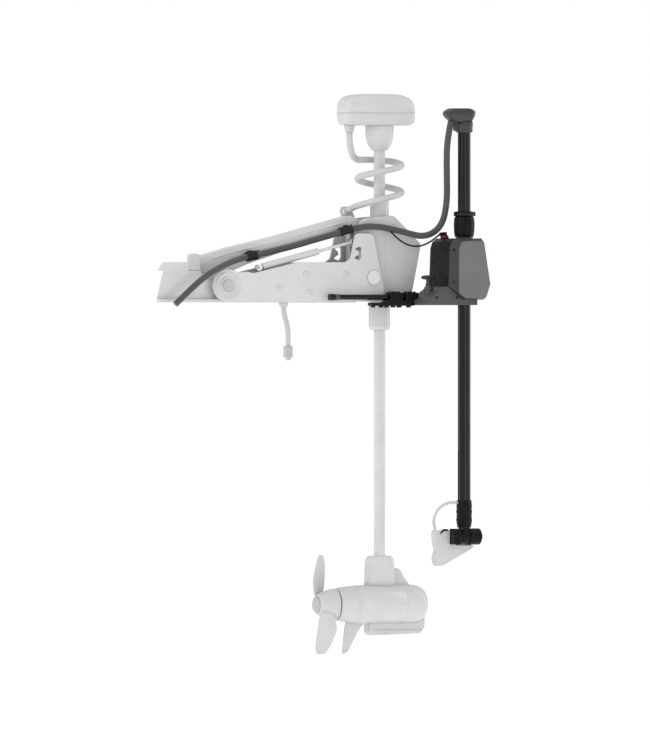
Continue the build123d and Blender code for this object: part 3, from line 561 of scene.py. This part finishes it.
def tube(name, points, diameter, sides=20, ripple=0.0, ripple_pitch=0.0):
    """A round tube along points, with a UV map of turns round it and metres along it."""
    across = frames_along(points)
    verts, distance, distances = [], 0.0, []
    for index, (point, (u, v)) in enumerate(zip(points, across)):
        if index:
            distance += (point - points[index - 1]).length
        distances.append(distance)
        wave = ripple * math.sin(2 * math.pi * distance / ripple_pitch) if ripple else 0.0
        radius = diameter / 2 - ripple + wave
        for side in range(sides):
            angle = 2 * math.pi * side / sides
            verts.append(point + (u * math.cos(angle) + v * math.sin(angle)) * radius)
    piece = new_mesh(name, verts, ring_faces(len(points), sides))
    layer = piece.data.uv_layers.new(name="UVMap")
    for face in piece.data.polygons:
        for loop in face.loop_indices:
            vertex = piece.data.loops[loop].vertex_index
            ring, side = divmod(vertex, sides)
            turn = side / sides
            if side == 0 and any(piece.data.loops[l].vertex_index % sides == sides - 1 for l in face.loop_indices):
                turn = 1.0
            layer.data[loop].uv = (turn, distances[ring])
    return piece


POWER_ROUTE = ((88, 0, -14), (90, 0, -34), (99, 0, -62), (103, 1, -92), (102, 0, -122))
HOSE_UPPER = ((537, -150, 511), (530, -149, 480), (525, -147, 437), (526, -143, 392), (529, -138, 345),
              (532, -133, 300), (531, -127, 264), (526.5, -121, 232.5), (514, -116, 208.5), (492.5, -111, 192),
              (466, -106, 186), (439, -99, 191.5), (415.4, -90.4, 198.6), (392, -85, 204))
HOSE_LOWER = ((392, -85, 204), (366, -79, 210), (334, -75, 213.5), (303, -68, 212.5), (274, -55, 207),
              (246, -42, 198), (215, -34.5, 188), (175, -32.5, 177.5), (133, -32, 166), (92, -32.5,
                                                                                         155.5),
              (50, -33, 146), (10, -34, 137.5), (-28, -38, 130.5), (-62, -47, 124), (-94, -59, 115.5),
              (-125, -71, 105), (-155, -81, 92.5), (-186, -88, 77), (-214, -93, 58.5), (-240, -96.5,
                                                                                        38),
              (-266, -99, 16), (-291, -101, -5.5))
SENSOR_LEAD = ((377, -91, 199), (390, -90, 187), (407, -89, 174), (428, -92, 162), (452, -95, 157),
               (476, -98, 161), (497, -103, 172), (511, -108, 184), (520, -112, 192))
TRANSDUCER_LEAD = ((559, -150, -562), (540, -149, -559), (518, -146, -565), (499, -141, -580),
                   (490, -135, -603), (490.5, -131, -621), (496, -131, -635.5))
COIL_R, COIL_STEP, COIL_FALL = 64.0, 30, 0.21


def coil_route():
    """From the head down beside the shaft, round it and into the housing's gland."""
    route = [(288, -8, 478), (288, -8, 455.5), (293.4, -2.5, 434.4), (303.5, 7.9, 417.1),
             (317, 21.8, 405.9)]
    for angle in range(135, -526, -COIL_STEP):
        turn = math.radians(angle)
        sag = 0.001 * max(0, angle) ** 2 + 0.0002 * max(0, -angle - 360) ** 2
        route.append((SHAFT.x / MM + COIL_R * math.cos(turn), COIL_R * math.sin(turn),
                      391 + COIL_FALL * angle - sag))
    return route + [(313, 12, 270), (304, 40, 258)]


def free_cord(name, route, node, length, diameter, slot, finish=None, **facts):
    """A lead that one body carries: a bevelled curve on its route."""
    line = route_curve(name, route)
    line.data.bevel_depth = diameter / 2
    line.data.bevel_resolution = 4
    line.data.use_fill_caps = True
    dress(line, slot, finish)
    stand_for(line, node)
    return line


def jointed_cord(name, route, node, length, diameter, slot, bodies, start, end, finish=None, **facts):
    """A lead between two bodies: a mesh tube along its route, carried by neither body."""
    line = route_curve(name + "_line", route)
    points = line_points(line)
    bpy.data.objects.remove(line)
    piece = tube(name, points, diameter)
    dress(piece, slot, finish)
    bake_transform(piece)
    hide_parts(node)
    return points


free_cord("power_cable", POWER_ROUTE, "power_lead", 0.11, 0.014, "pale_rubber", far_end="plug",
          stiffness="medium", lay="hanging", with_pieces=[nodes["power_plug"]])
free_cord("sensor_cable", SENSOR_LEAD, "sensor_lead", 0.168, 0.005, "black_rubber", far_end="object",
          stiffness="limp", lay="loose")
jointed_cord("coil_cable", coil_route(), "coil_lead", 0.91, 0.018, "pale_rubber",
             ("steering_housing", "head"), (SHAFT.x, 0, 0.275), (SHAFT.x, 0, 0.45), far_end="object",
             stiffness="medium", lay="coiled")
jointed_cord("hose_to_pole", HOSE_UPPER, "hose_upper", 0.442, 0.018, "black_rubber",
             ("steering_housing", "pole_head"), (0.53, -0.13, 0.24), (0.53, -0.13, 0.49), "hose",
             far_end="object", stiffness="medium", lay="hanging")
hose_points = jointed_cord("hose_to_boat", HOSE_LOWER, "hose_lower", 0.748, 0.018, "black_rubber",
             ("steering_housing", "beam"), (0.385, -0.08, 0.21), (0.30, -0.08, 0.21), "hose",
             far_end="bare", stiffness="medium", lay="loose")
jointed_cord("transducer_cable", TRANSDUCER_LEAD, "transducer_lead", 0.125, 0.008, "pale_rubber",
             ("pole", "sonar"), (0.535, -0.149, -0.575), (0.492, -0.131, -0.63), far_end="object",
             stiffness="limp", lay="loose")

# ---------------------------------------------------------------- head
def head_rings(name, levels, power=4.5, sides=72):
    """A shell of rounded-rectangle rings, from (z, low x, high x, half width) in millimetres."""
    points = []
    for z, x_low, x_high, half in levels:
        for side in range(sides):
            angle = 2 * math.pi * side / sides
            across, along = math.cos(angle), math.sin(angle)
            reach_x = math.copysign(abs(across) ** (2 / power), across) * (x_high - x_low) / 2
            reach_y = math.copysign(abs(along) ** (2 / power), along) * half
            points.append(((x_low + x_high) / 2 * MM + reach_x * MM, reach_y * MM, z * MM))
    return new_mesh(name, points, ring_faces(len(levels), sides))


def make_head():
    """The head's two shells, its seam, the lead's relief and the status lamps on top."""
    top = head_rings("head_top", [(532.4, 266, 482, 51), (533, 265, 483, 52), (546, 265, 483, 52),
                                  (557, 267, 480, 51.2), (566, 270, 475, 49), (573, 276, 468, 46),
                                  (578.5, 285, 459, 41.5), (582.5, 298, 447, 35.5), (585, 315, 433, 27),
                                  (585.9, 335, 416, 16)])
    dress(top, "pale_plastic")
    stand_for(top, "head_cover")
    tray = head_rings("head_tray", [(497, 290, 458, 38), (497.3, 284, 465, 42), (498.6, 277, 471, 45.5),
                                    (502, 271, 477, 48.8), (508, 267, 481, 51), (516, 265.5, 482.6,
                                                                                 51.8),
                                    (524, 265, 483, 52), (531.4, 265, 483, 52), (531.8, 266, 482, 51),
                                    (532.4, 266, 482, 51)])
    dress(tray, "pale_plastic")
    stand_for(tray, "head_base")
    x, y = 288 * MM, -8 * MM
    relief = turned("head_relief", [(0.478, 0.0095), (0.478, 0.0105), (0.4795, 0.0115),
                                    (0.4805, 0.0108),
                                    (0.4835, 0.0125), (0.485, 0.0118), (0.489, 0.014), (0.5, 0.0145)],
                    (x, y, 0), sides=36)
    add_piece(relief, "head", "pale_rubber")
    lamps = [turned("lamp", [(0.5835, 0.0028), (0.5856, 0.0028), (0.58599, 0.002)], (lamp_x * MM, 0, 0),
                    sides=20) for lamp_x in (362, 375, 388)]
    add_piece(join("head_lamps", lamps), "head", "pale_dark")


# ---------------------------------------------------------------- lower unit
prop_low, prop_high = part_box("propeller")
AXIS_Z = (prop_low.z + prop_high.z) / 2


def make_motor():
    """The motor's turned body with its two joint lines, the fin in front and the skeg behind."""
    profile = [(250, 40), (250, 44.5), (252, 46), (262, 48.5), (276, 50.4), (290, 52), (302, 53),
               (303, 52.2),
               (304.5, 52.2), (305.5, 53.3), (330, 55), (348, 55.7), (365, 56), (446, 56), (447, 55.2),
               (448.5, 55.2), (449.5, 56), (468, 56), (478, 55.6), (488, 54.6), (497, 52.8), (504, 50.3),
               (510, 47), (514.5, 43.2), (518, 38.4), (520, 33), (521, 27), (521, 4)]
    body = turned("motor_body", [(x * MM, r * MM) for x, r in profile], (0, 0, AXIS_Z), (1, 0, 0), 96)
    dress(body, "pale_cast")
    stand_for(body, "motor_shell")
    fin = [(430, -798), (430, -748), (434, -745), (440, -745), (449, -750), (458, -765), (466, -778),
           (478, -792), (490, -799)]
    skeg = [(281, -893), (277, -907), (274, -930), (271, -960), (268, -982), (270, -986), (273, -987),
            (286, -980), (292, -970), (300, -955), (309, -938), (318, -922), (330, -907), (340, -896)]
    for name, outline in (("motor_fin", fin), ("motor_skeg", skeg)):
        plate = slab_piece(name, [(x * MM, z * MM) for x, z in outline], -0.0028, 0.0028, 0.0022, 3)
        add_piece(plate, "lower_shaft", "pale_cast")


PROP_X = 203 * MM
BLADE_EDGES = ((15, -5, 20), (28, -12, 25), (45, -17, 31), (60, -18, 35.5), (75, -18.6, 36),
               (90, -18.6, 33.6),
               (105, -18, 29.5), (118, -17, 25), (127, -16, 20.5), (133, -14.4, 16.6), (136.6, -12.4,
                                                                                        13),
               (138.6, -9.5, 9.5), (139.6, -5, 5))
BLADE_SIDESTEP = 24


def blade(turn):
    """A twisted blade: rings of an aerofoil section from the hub out to a blunt, swept tip."""
    sides = 28
    points = []
    for reach, low, high in BLADE_EDGES:
        share = max(0, (reach - 28) / 111.6)
        outward = min(1, max(0, (reach - 55) / 84.6))
        sidestep = BLADE_SIDESTEP * (1 - outward * outward * (3 - 2 * outward))
        pitch = math.radians(64 - 6 * share)
        thick = 7.5 * (1 - share) + 2.4
        for side in range(sides):
            angle = 2 * math.pi * side / sides
            along = (low + high) / 2 + (high - low) / 2 * math.cos(angle)
            across = thick / 2 * math.sin(angle) * (1 - 0.35 * math.cos(angle)) + 2 * math.sin(math.pi * share)
            x = along * math.sin(pitch) - across * math.cos(pitch)
            y = along * math.cos(pitch) + across * math.sin(pitch)
            place = Matrix.Rotation(turn, 3, "X") @ Vector((x, y + sidestep, reach))
            points.append(Vector((PROP_X, 0, AXIS_Z)) + place * MM)
    return new_mesh("blade", points, ring_faces(len(BLADE_EDGES), sides))


def make_propeller():
    """The hub with its two weedless blades, and the domed nut."""
    hub = [(192, 22), (192, 25.5), (194, 28.5), (198, 31), (204, 34), (210, 36.8), (218, 39.7),
           (226, 42),
           (236, 44), (244, 45.3), (246, 44.8), (246, 40)]
    rotor = join("propeller_cast", [turned("hub", [(x * MM, r * MM) for x, r in hub], (0, 0, AXIS_Z),
                                           (1, 0, 0), 72),
                                    blade(0), blade(math.pi)])
    dress(rotor, "pale_plastic")
    stand_for(rotor, "propeller")
    nut = [(182, 5), (182.2, 12), (183.5, 16.5), (186, 20.3), (189, 22.8), (191.9, 24)]
    cap = turned("propeller_cap", [(x * MM, r * MM) for x, r in nut], (0, 0, AXIS_Z), (1, 0, 0), 48)
    dress(cap, "pale_dark")
    stand_for(cap, "prop_nut")


def make_socket():
    """The tapering block that joins the shaft to the motor."""
    levels = [(-800, 339.5, 430.5, 23.4), (-770, 340.5, 429.5, 23), (-735, 342, 428, 22.2),
              (-722, 343.5, 426.5, 21.6),
              (-716, 346, 424, 20.6), (-712, 350, 420, 18.8), (-710.4, 355, 415, 16.5), (-710, 361,
                                                                                         409, 13.6)]
    levels = [(z, low + 0.5, high - 0.5, half - 0.4) for z, low, high, half in levels]
    block = head_rings("shaft_block", levels, 3.2)
    dress(block, "pale_cast")
    stand_for(block, "shaft_socket")


# ---------------------------------------------------------------- pole mount
def make_collar():
    """The collar above the drive box: a fluted bulb under a split ring with two lugs."""
    bulb = [(184.5, 22), (184.5, 25.5), (186, 26.8), (190, 27.3, 0.3), (197, 28.4, 1), (208, 29.2, 1),
            (220, 29.5, 1),
            (231, 28.8, 1), (238, 27.6, 0.6), (241, 26.4), (242, 24.4), (243.5, 24.4), (244.5, 26.4,
                                                                                        0.3),
            (247, 26.8, 1), (253, 26.2, 1), (255, 25), (256, 23), (256, 20)]
    rings = [(z * MM, r * MM, *cut) for z, r, *cut in bulb]
    collar = turned("collar_bulb", rings, (POLE.x, POLE.y, 0), sides=160, flutes=10, flute_depth=0.0016)
    dress(collar, "black_plastic")
    stand_for(collar, "pole_collar")
    ring = turned("collar_ring", [(0.2435, 0.0235), (0.2435, 0.0283), (0.2445, 0.0292),
                                  (0.2505, 0.0292),
                                  (0.2515, 0.0283), (0.2515, 0.0235)], (POLE.x, POLE.y, 0), sides=72)
    add_piece(ring, "collar", "black_rubber")
    lugs = []
    for way in (-1, 1):
        lug_x = POLE.x + way * 0.0285
        lugs.append(slab_piece("lug", [(lug_x - 0.004, 0.2425), (lug_x + 0.004, 0.2425),
                                       (lug_x + 0.004, 0.2545),
                                       (lug_x - 0.004,
                                        0.2545)], POLE.y - 0.007, POLE.y + 0.001, 0.0012))
    add_piece(join("collar_lugs", lugs), "collar", "black_plastic")


def make_cap():
    """The pole's cap: a rounded wedge over a turned socket with a small locking tab."""
    wedge = head_rings("pole_cap_top", [(506, 541, 594, 20), (510, 533, 597, 22.5),
                                        (515, 526, 600, 24.5), (521, 520, 603.5, 26),
                                        (528, 516.5, 606, 26), (533, 516.5, 606.5, 26), (536.5, 519,
                                                                                         605.5, 25.6),
                                        (540, 524, 601.5, 24.4), (543, 529, 596, 22.6), (544.6, 533,
                                                                                         591, 20.6),
                                        (545, 538, 586, 17.6)], 4.0)
    for point in wedge.data.vertices:
        point.co.y += POLE.y
    socket = turned("socket", [(0.477, 0.0192), (0.477, 0.0222), (0.4784, 0.0236), (0.486, 0.024),
                               (0.487, 0.0234),
                               (0.489, 0.0234), (0.49, 0.0242), (0.508, 0.0246)], (POLE.x, POLE.y,
                                                                                   0), sides=60)
    tab = slab_piece("tab", [(0.546, 0.482), (0.556, 0.48), (0.556, 0.509), (0.546, 0.509)],
                     POLE.y - 0.008,
                     POLE.y + 0.008, 0.0012)
    cap = join("pole_cap_body", [wedge, socket, tab])
    dress(cap, "grey_plastic", "cap_grey")
    stand_for(cap, "pole_cap")


def make_pole_foot_details():
    """The sleeve above the pole's foot, where the transducer's lead comes out, and its bands."""
    profile = [(-0.577, 0.0196), (-0.577, 0.0212), (-0.5755, 0.0218), (-0.563, 0.0218),
               (-0.5615, 0.0204),
               (-0.5605, 0.0204), (-0.5595, 0.0214), (-0.556, 0.0212), (-0.554, 0.0196), (-0.554, 0.018)]
    sleeve = turned("foot_sleeve", profile, (POLE.x, POLE.y, 0), sides=60)
    bands = [turned("band", [(z, 0.0206), (z, 0.0222), (z + 0.002, 0.0226), (z + 0.006, 0.0226),
                             (z + 0.008, 0.0222), (z + 0.008, 0.0206)], (POLE.x, POLE.y, 0), sides=60)
             for z in (-0.614, -0.59)]
    add_piece(join("foot_bands", [sleeve] + bands), "pole", "black_plastic")


def make_transducer_details():
    """The small latch on the transducer's upper rear corner."""
    low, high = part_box("transducer")
    arm = [(low.x + 0.012, high.z - 0.0105), (low.x + 0.016, high.z - 0.0115),
           (low.x + 0.026, high.z - 0.0035),
           (low.x + 0.038, high.z - 0.0035), (low.x + 0.038, high.z + 0.002), (low.x + 0.024,
                                                                               high.z + 0.002)]
    latch = slab_piece("latch", arm, low.y - 0.0022, low.y + 0.004, 0.001)
    add_piece(latch, "sonar", "black_plastic")


def make_box_details():
    """Screws in the cover's sloping border, the lead's seal, and the vents at the back."""
    low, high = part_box("drive_cover")
    middle_y = (low.y + high.y) / 2
    places = []
    for z in (0.058, 0.148):
        places.append(((low.x + 0.0135, middle_y + 0.0007, z), (-0.63, -0.78, 0)))
        places.append(((high.x - 0.006 - (z - 0.05) * 0.16, middle_y + 0.0007, z), (0.8, -0.6, 0)))
    screws = [socket_screw(place, axis, 0.0042, 0.0012) for place, axis in places]
    add_piece(join("cover_screws", screws), "steering_housing", "black_rubber")
    elbow_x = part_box("cable_elbow")[1].x - 0.009
    seal = turned("lead_seal", [(0.1802, 0.0085), (0.1802, 0.0118), (0.1815, 0.0124), (0.1835, 0.0124),
                                (0.185, 0.0112),
                                (0.1865, 0.0112), (0.188, 0.0096), (0.189, 0.0088)], (elbow_x, -0.112,
                                                                                      0), sides=40)
    add_piece(seal, "steering_housing", "black_rubber", "red_seal")
    foot_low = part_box("turret_foot")[0]
    foot_screws = [socket_screw((x, foot_low.y, z), (0, -1, 0), 0.0036, 0.0014)
                   for x, z in ((0.466, 0.014), (0.529, 0.0145))]
    add_piece(join("foot_screws", foot_screws), "steering_housing", "black_anodised")
    ribs = []
    for step in range(5):
        z = 0.07 + step * 0.018
        outline = [(0.53, z), (0.59, z), (0.592, z + 0.004), (0.59, z + 0.008), (0.53, z + 0.008),
                   (0.528, z + 0.004)]
        ribs.append(slab_piece("rib", outline, box_high.y - 0.001, box_high.y + 0.0016, 0.0012))
    add_piece(join("box_ribs", ribs), "steering_housing", "black_plastic")


def make_knob():
    """The foot's T handle: a waisted stem under a round-ended bar."""
    low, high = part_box("clamp_knob")
    x, y = (low.x + high.x) / 2, (low.y + high.y) / 2
    stem = turned("stem", [(low.z, 0.009), (low.z + 0.002, 0.0093), (low.z + 0.006, 0.0078),
                           (low.z + 0.013, 0.0066),
                           (low.z + 0.019, 0.0068), (low.z + 0.0225, 0.0085)], (x, y, 0), sides=32)
    half, mid_z = (high.x - low.x) / 2, high.z - 0.0066
    ends = [(half * math.sin(t), 0.0064 * math.cos(t) ** 0.55) for t in
            [math.radians(a) for a in (-86, -78, -68, -52, -30, 0, 30, 52, 68, 78, 86)]]
    bar = turned("bar", ends, (x, y, mid_z), (1, 0, 0), 24)
    knob = join("knob_handle", [stem, bar])
    dress(knob, "black_plastic", "cap_grey")
    stand_for(knob, "clamp_knob")


def make_rod_details():
    """The rod's end ring and the clamp screws on the rod's two blocks."""
    low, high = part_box("support_rod")
    y, z = (low.y + high.y) / 2, (low.z + high.z) / 2
    ring = turned("rod_ring", [(0.2035, 0.0075), (0.2035, 0.0082), (0.205, 0.0087), (0.2135, 0.0087),
                               (0.215, 0.0082),
                               (0.215, 0.0074)], (0, y, z), (1, 0, 0), 40)
    add_piece(ring, "steering_housing", "black_anodised", "foot_grey")
    block_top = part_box("rod_bracket")[1].z
    tops = [socket_screw((x, side, block_top), (0, 0, 1), 0.0042, 0.0035)
            for x in (0.376, 0.394, 0.425, 0.443) for side in (-0.106, -0.0845)]
    add_piece(join("clamp_screws", tops), "steering_housing", "black_anodised")


# ---------------------------------------------------------------- arms, base and housing
def make_arm_details():
    """The raised ring round the stow pivot on each plate, and screws with sockets in place of plain heads."""
    rings = []
    pivot_x, _, pivot_z = joints["stow_arm"]["pos_m"]
    for side in (-1, 1):
        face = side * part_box("arm_plate_far")[1].y
        rings.append(turned("lip", [(-0.001, 0.0385), (0.0012, 0.0385), (0.0022, 0.0372),
                                    (0.0022, 0.0352),
                                    (0.0012, 0.034), (-0.001, 0.034)], (pivot_x, face, pivot_z), (0, side, 0), 72))
        rings.append(turned("disc", [(-0.001, 0.0245), (0.0022, 0.0245), (0.0034, 0.0232),
                                     (0.0034, 0.0185),
                                     (0.0028, 0.0178)], (pivot_x, face, pivot_z), (0, side, 0), 64))
    add_piece(join("pivot_rings", rings), "stow_arms", "pale_cast")
    screws = []
    for low, high in solids_of("arm_screws"):
        side = 1 if low.y > 0 else -1
        place = ((low.x + high.x) / 2, low.y if side > 0 else high.y, (low.z + high.z) / 2)
        screws.append(socket_screw(place, (0, side, 0), (high.x - low.x) / 2, high.y - low.y))
    joined = join("plate_screws", screws)
    dress(joined, "steel")
    stand_for(joined, "arm_screws")


def make_base_details():
    """The oval boss, the small square plug and the long band on the near wall of the tray."""
    face = -0.044
    oval = [(-0.271 + 0.009 * math.cos(a), 0.0405 + 0.006 * math.sin(a))
            for a in [2 * math.pi * k / 20 for k in range(20)]]
    square = [(-0.244, 0.05), (-0.237, 0.05), (-0.237, 0.057), (-0.244, 0.057)]
    groove = [(-0.302, 0.0795), (-0.19, 0.0795), (-0.19, 0.0825), (-0.301, 0.0825)]
    parts = [slab_piece("mark", outline, face - 0.0005, face + 0.002, 0.0004) for outline in (oval, square, groove)]
    add_piece(join("wall_marks", parts), "base", "pale_cast")


def make_housing_details():
    """A raised band down each side of the steering housing, and the seam screws."""
    band = [(0.345, 0.014), (0.382, 0.014), (0.372, 0.236), (0.338, 0.235)]
    bands = [slab_piece("band", band, side * 0.056 - 0.0016, side * 0.056 + 0.0016,
                        0.0012) for side in (-1, 1)]
    add_piece(join("housing_bands", bands), "steering_housing", "pale_plastic")
    screws = [socket_screw((x, side * 0.056, z), (0, side, 0), 0.005, 0.002)
              for side in (-1, 1) for x, z in ((0.44, 0.03), (0.465, 0.155), (0.398, 0.224))]
    add_piece(join("housing_screws", screws), "steering_housing", "steel")


def make_beam_details():
    """A shallow rib that follows the beam's upper edge on each side."""
    line = [(-150, 118), (-83, 138), (57, 169), (171, 199), (262, 222), (262, 226), (171, 203),
            (57, 173),
            (-83, 142), (-150, 122)]
    outline = [(x * MM, z * MM) for x, z in line]
    ribs = [slab_piece("rib", outline, side * 0.022 - 0.0015, side * 0.022 + 0.0015,
                       0.0011) for side in (-1, 1)]
    add_piece(join("beam_ribs", ribs), "beam", "pale_cast")


def make_sleeves():
    """The two cuffs that tie the hose to the beam, each with its buckle."""
    cuffs = []
    for middle_x in (0.260, -0.031):
        inside = [p for p in hose_points if abs(p.x - middle_x) < 0.017]
        cuffs.append(tube("cuff", inside, 0.0235, 28))
        for ends in (inside[:3], inside[-3:]):
            cuffs.append(tube("lip", ends, 0.0262, 28))
        centre = inside[len(inside) // 2]
        slope = (inside[-1] - inside[0]).normalized()
        buckle = [(-0.008, 0.0105), (0.008, 0.0105), (0.008, 0.0145), (0.003, 0.0165),
                  (-0.003, 0.0165), (-0.008, 0.0145)]
        turn_x, turn_z = -slope.x, -slope.z
        outline = [(centre.x + a * turn_x - b * turn_z, centre.z + a * turn_z + b * turn_x) for a,
                   b in buckle]
        cuffs.append(slab_piece("buckle", outline, centre.y - 0.006, centre.y + 0.006, 0.0012))
    add_piece(join("hose_cuffs", cuffs), "beam", "black_rubber")


def make_pod_details():
    """The line along each side of the sonar pod."""
    low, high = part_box("sonar_pod")
    lines = [slab_piece("line", [(low.x + 0.012, low.z + 0.014), (high.x - 0.01, low.z + 0.014),
                                 (high.x - 0.01, low.z + 0.0165), (low.x + 0.012, low.z + 0.0165)],
                        wall - 0.001, wall + 0.001, 0.0007) for wall in (low.y, high.y)]
    add_piece(join("pod_lines", lines), "lower_shaft", "pale_dark")


make_head()
make_motor()
make_propeller()
make_socket()
make_collar()
make_cap()
make_pole_foot_details()
make_transducer_details()
make_box_details()
make_knob()
make_rod_details()
make_arm_details()
make_base_details()
make_housing_details()
make_beam_details()
make_sleeves()
make_pod_details()

# ---------------------------------------------------------------- carried-over nodes and rounded shapes
EDGE_WIDTHS = {
    "base_tray": 1.2, "rest_bumpers": 3, "power_gland": 1, "power_plug": 1.5, "arm_plate_near": 1.4,
    "arm_plate_far": 1.4, "housing_shell_near": 2.2, "housing_shell_far": 2.2, "housing_yoke": 1,
    "rod_bracket": 1.4, "support_rod": 1.2, "turret_foot": 2, "drive_box": 3, "drive_cover": 2.5,
    "upper_beam": 3, "hose_straps": 0.8, "neck": 2, "sonar_pod": 4,
    "pole_foot": 1, "tilt_bracket": 1.2, "transducer": 3, "tilt_knob": 1.2, "cable_elbow": 1,
    "mount_bolts": 0.6, "base_pins": 1, "housing_pins": 1, "column_tube": 0.8,
}
FINISH_OF = {"turret_foot": "foot_grey", "pole_gear": "box_border", "guide_bushes": "box_border",
             "base_pins": "pale_dark"}


def painted_lit_front(piece, lit_face_finish, border_finish):
    """Painted light: a lighter finish on the flat faces that look straight out at -Y, standing for the lit front,
    and the darker border finish on the sloping border.
    """
    piece.data.materials.clear()
    piece.data.materials.append(finishes[lit_face_finish])
    piece.data.materials.append(finishes[border_finish])
    for face in piece.data.polygons:
        face.material_index = 0 if face.normal.y < -0.985 else 1


for node, width in EDGE_WIDTHS.items():
    piece = rounded_copy(node, width * MM)
    dress(piece, slot_of[node], FINISH_OF.get(node))
    if node == "drive_cover":
        # As painted light, the cover's flat front gets the lighter grey and its sloping border the dark one.
        painted_lit_front(piece, "box_front_painted_lit", "box_border")
    stand_for(piece, node)

for name, part in nodes.items():
    part.data.materials.clear()
    part.data.materials.append(finishes[FINISH_OF.get(name, slot_of[name])])
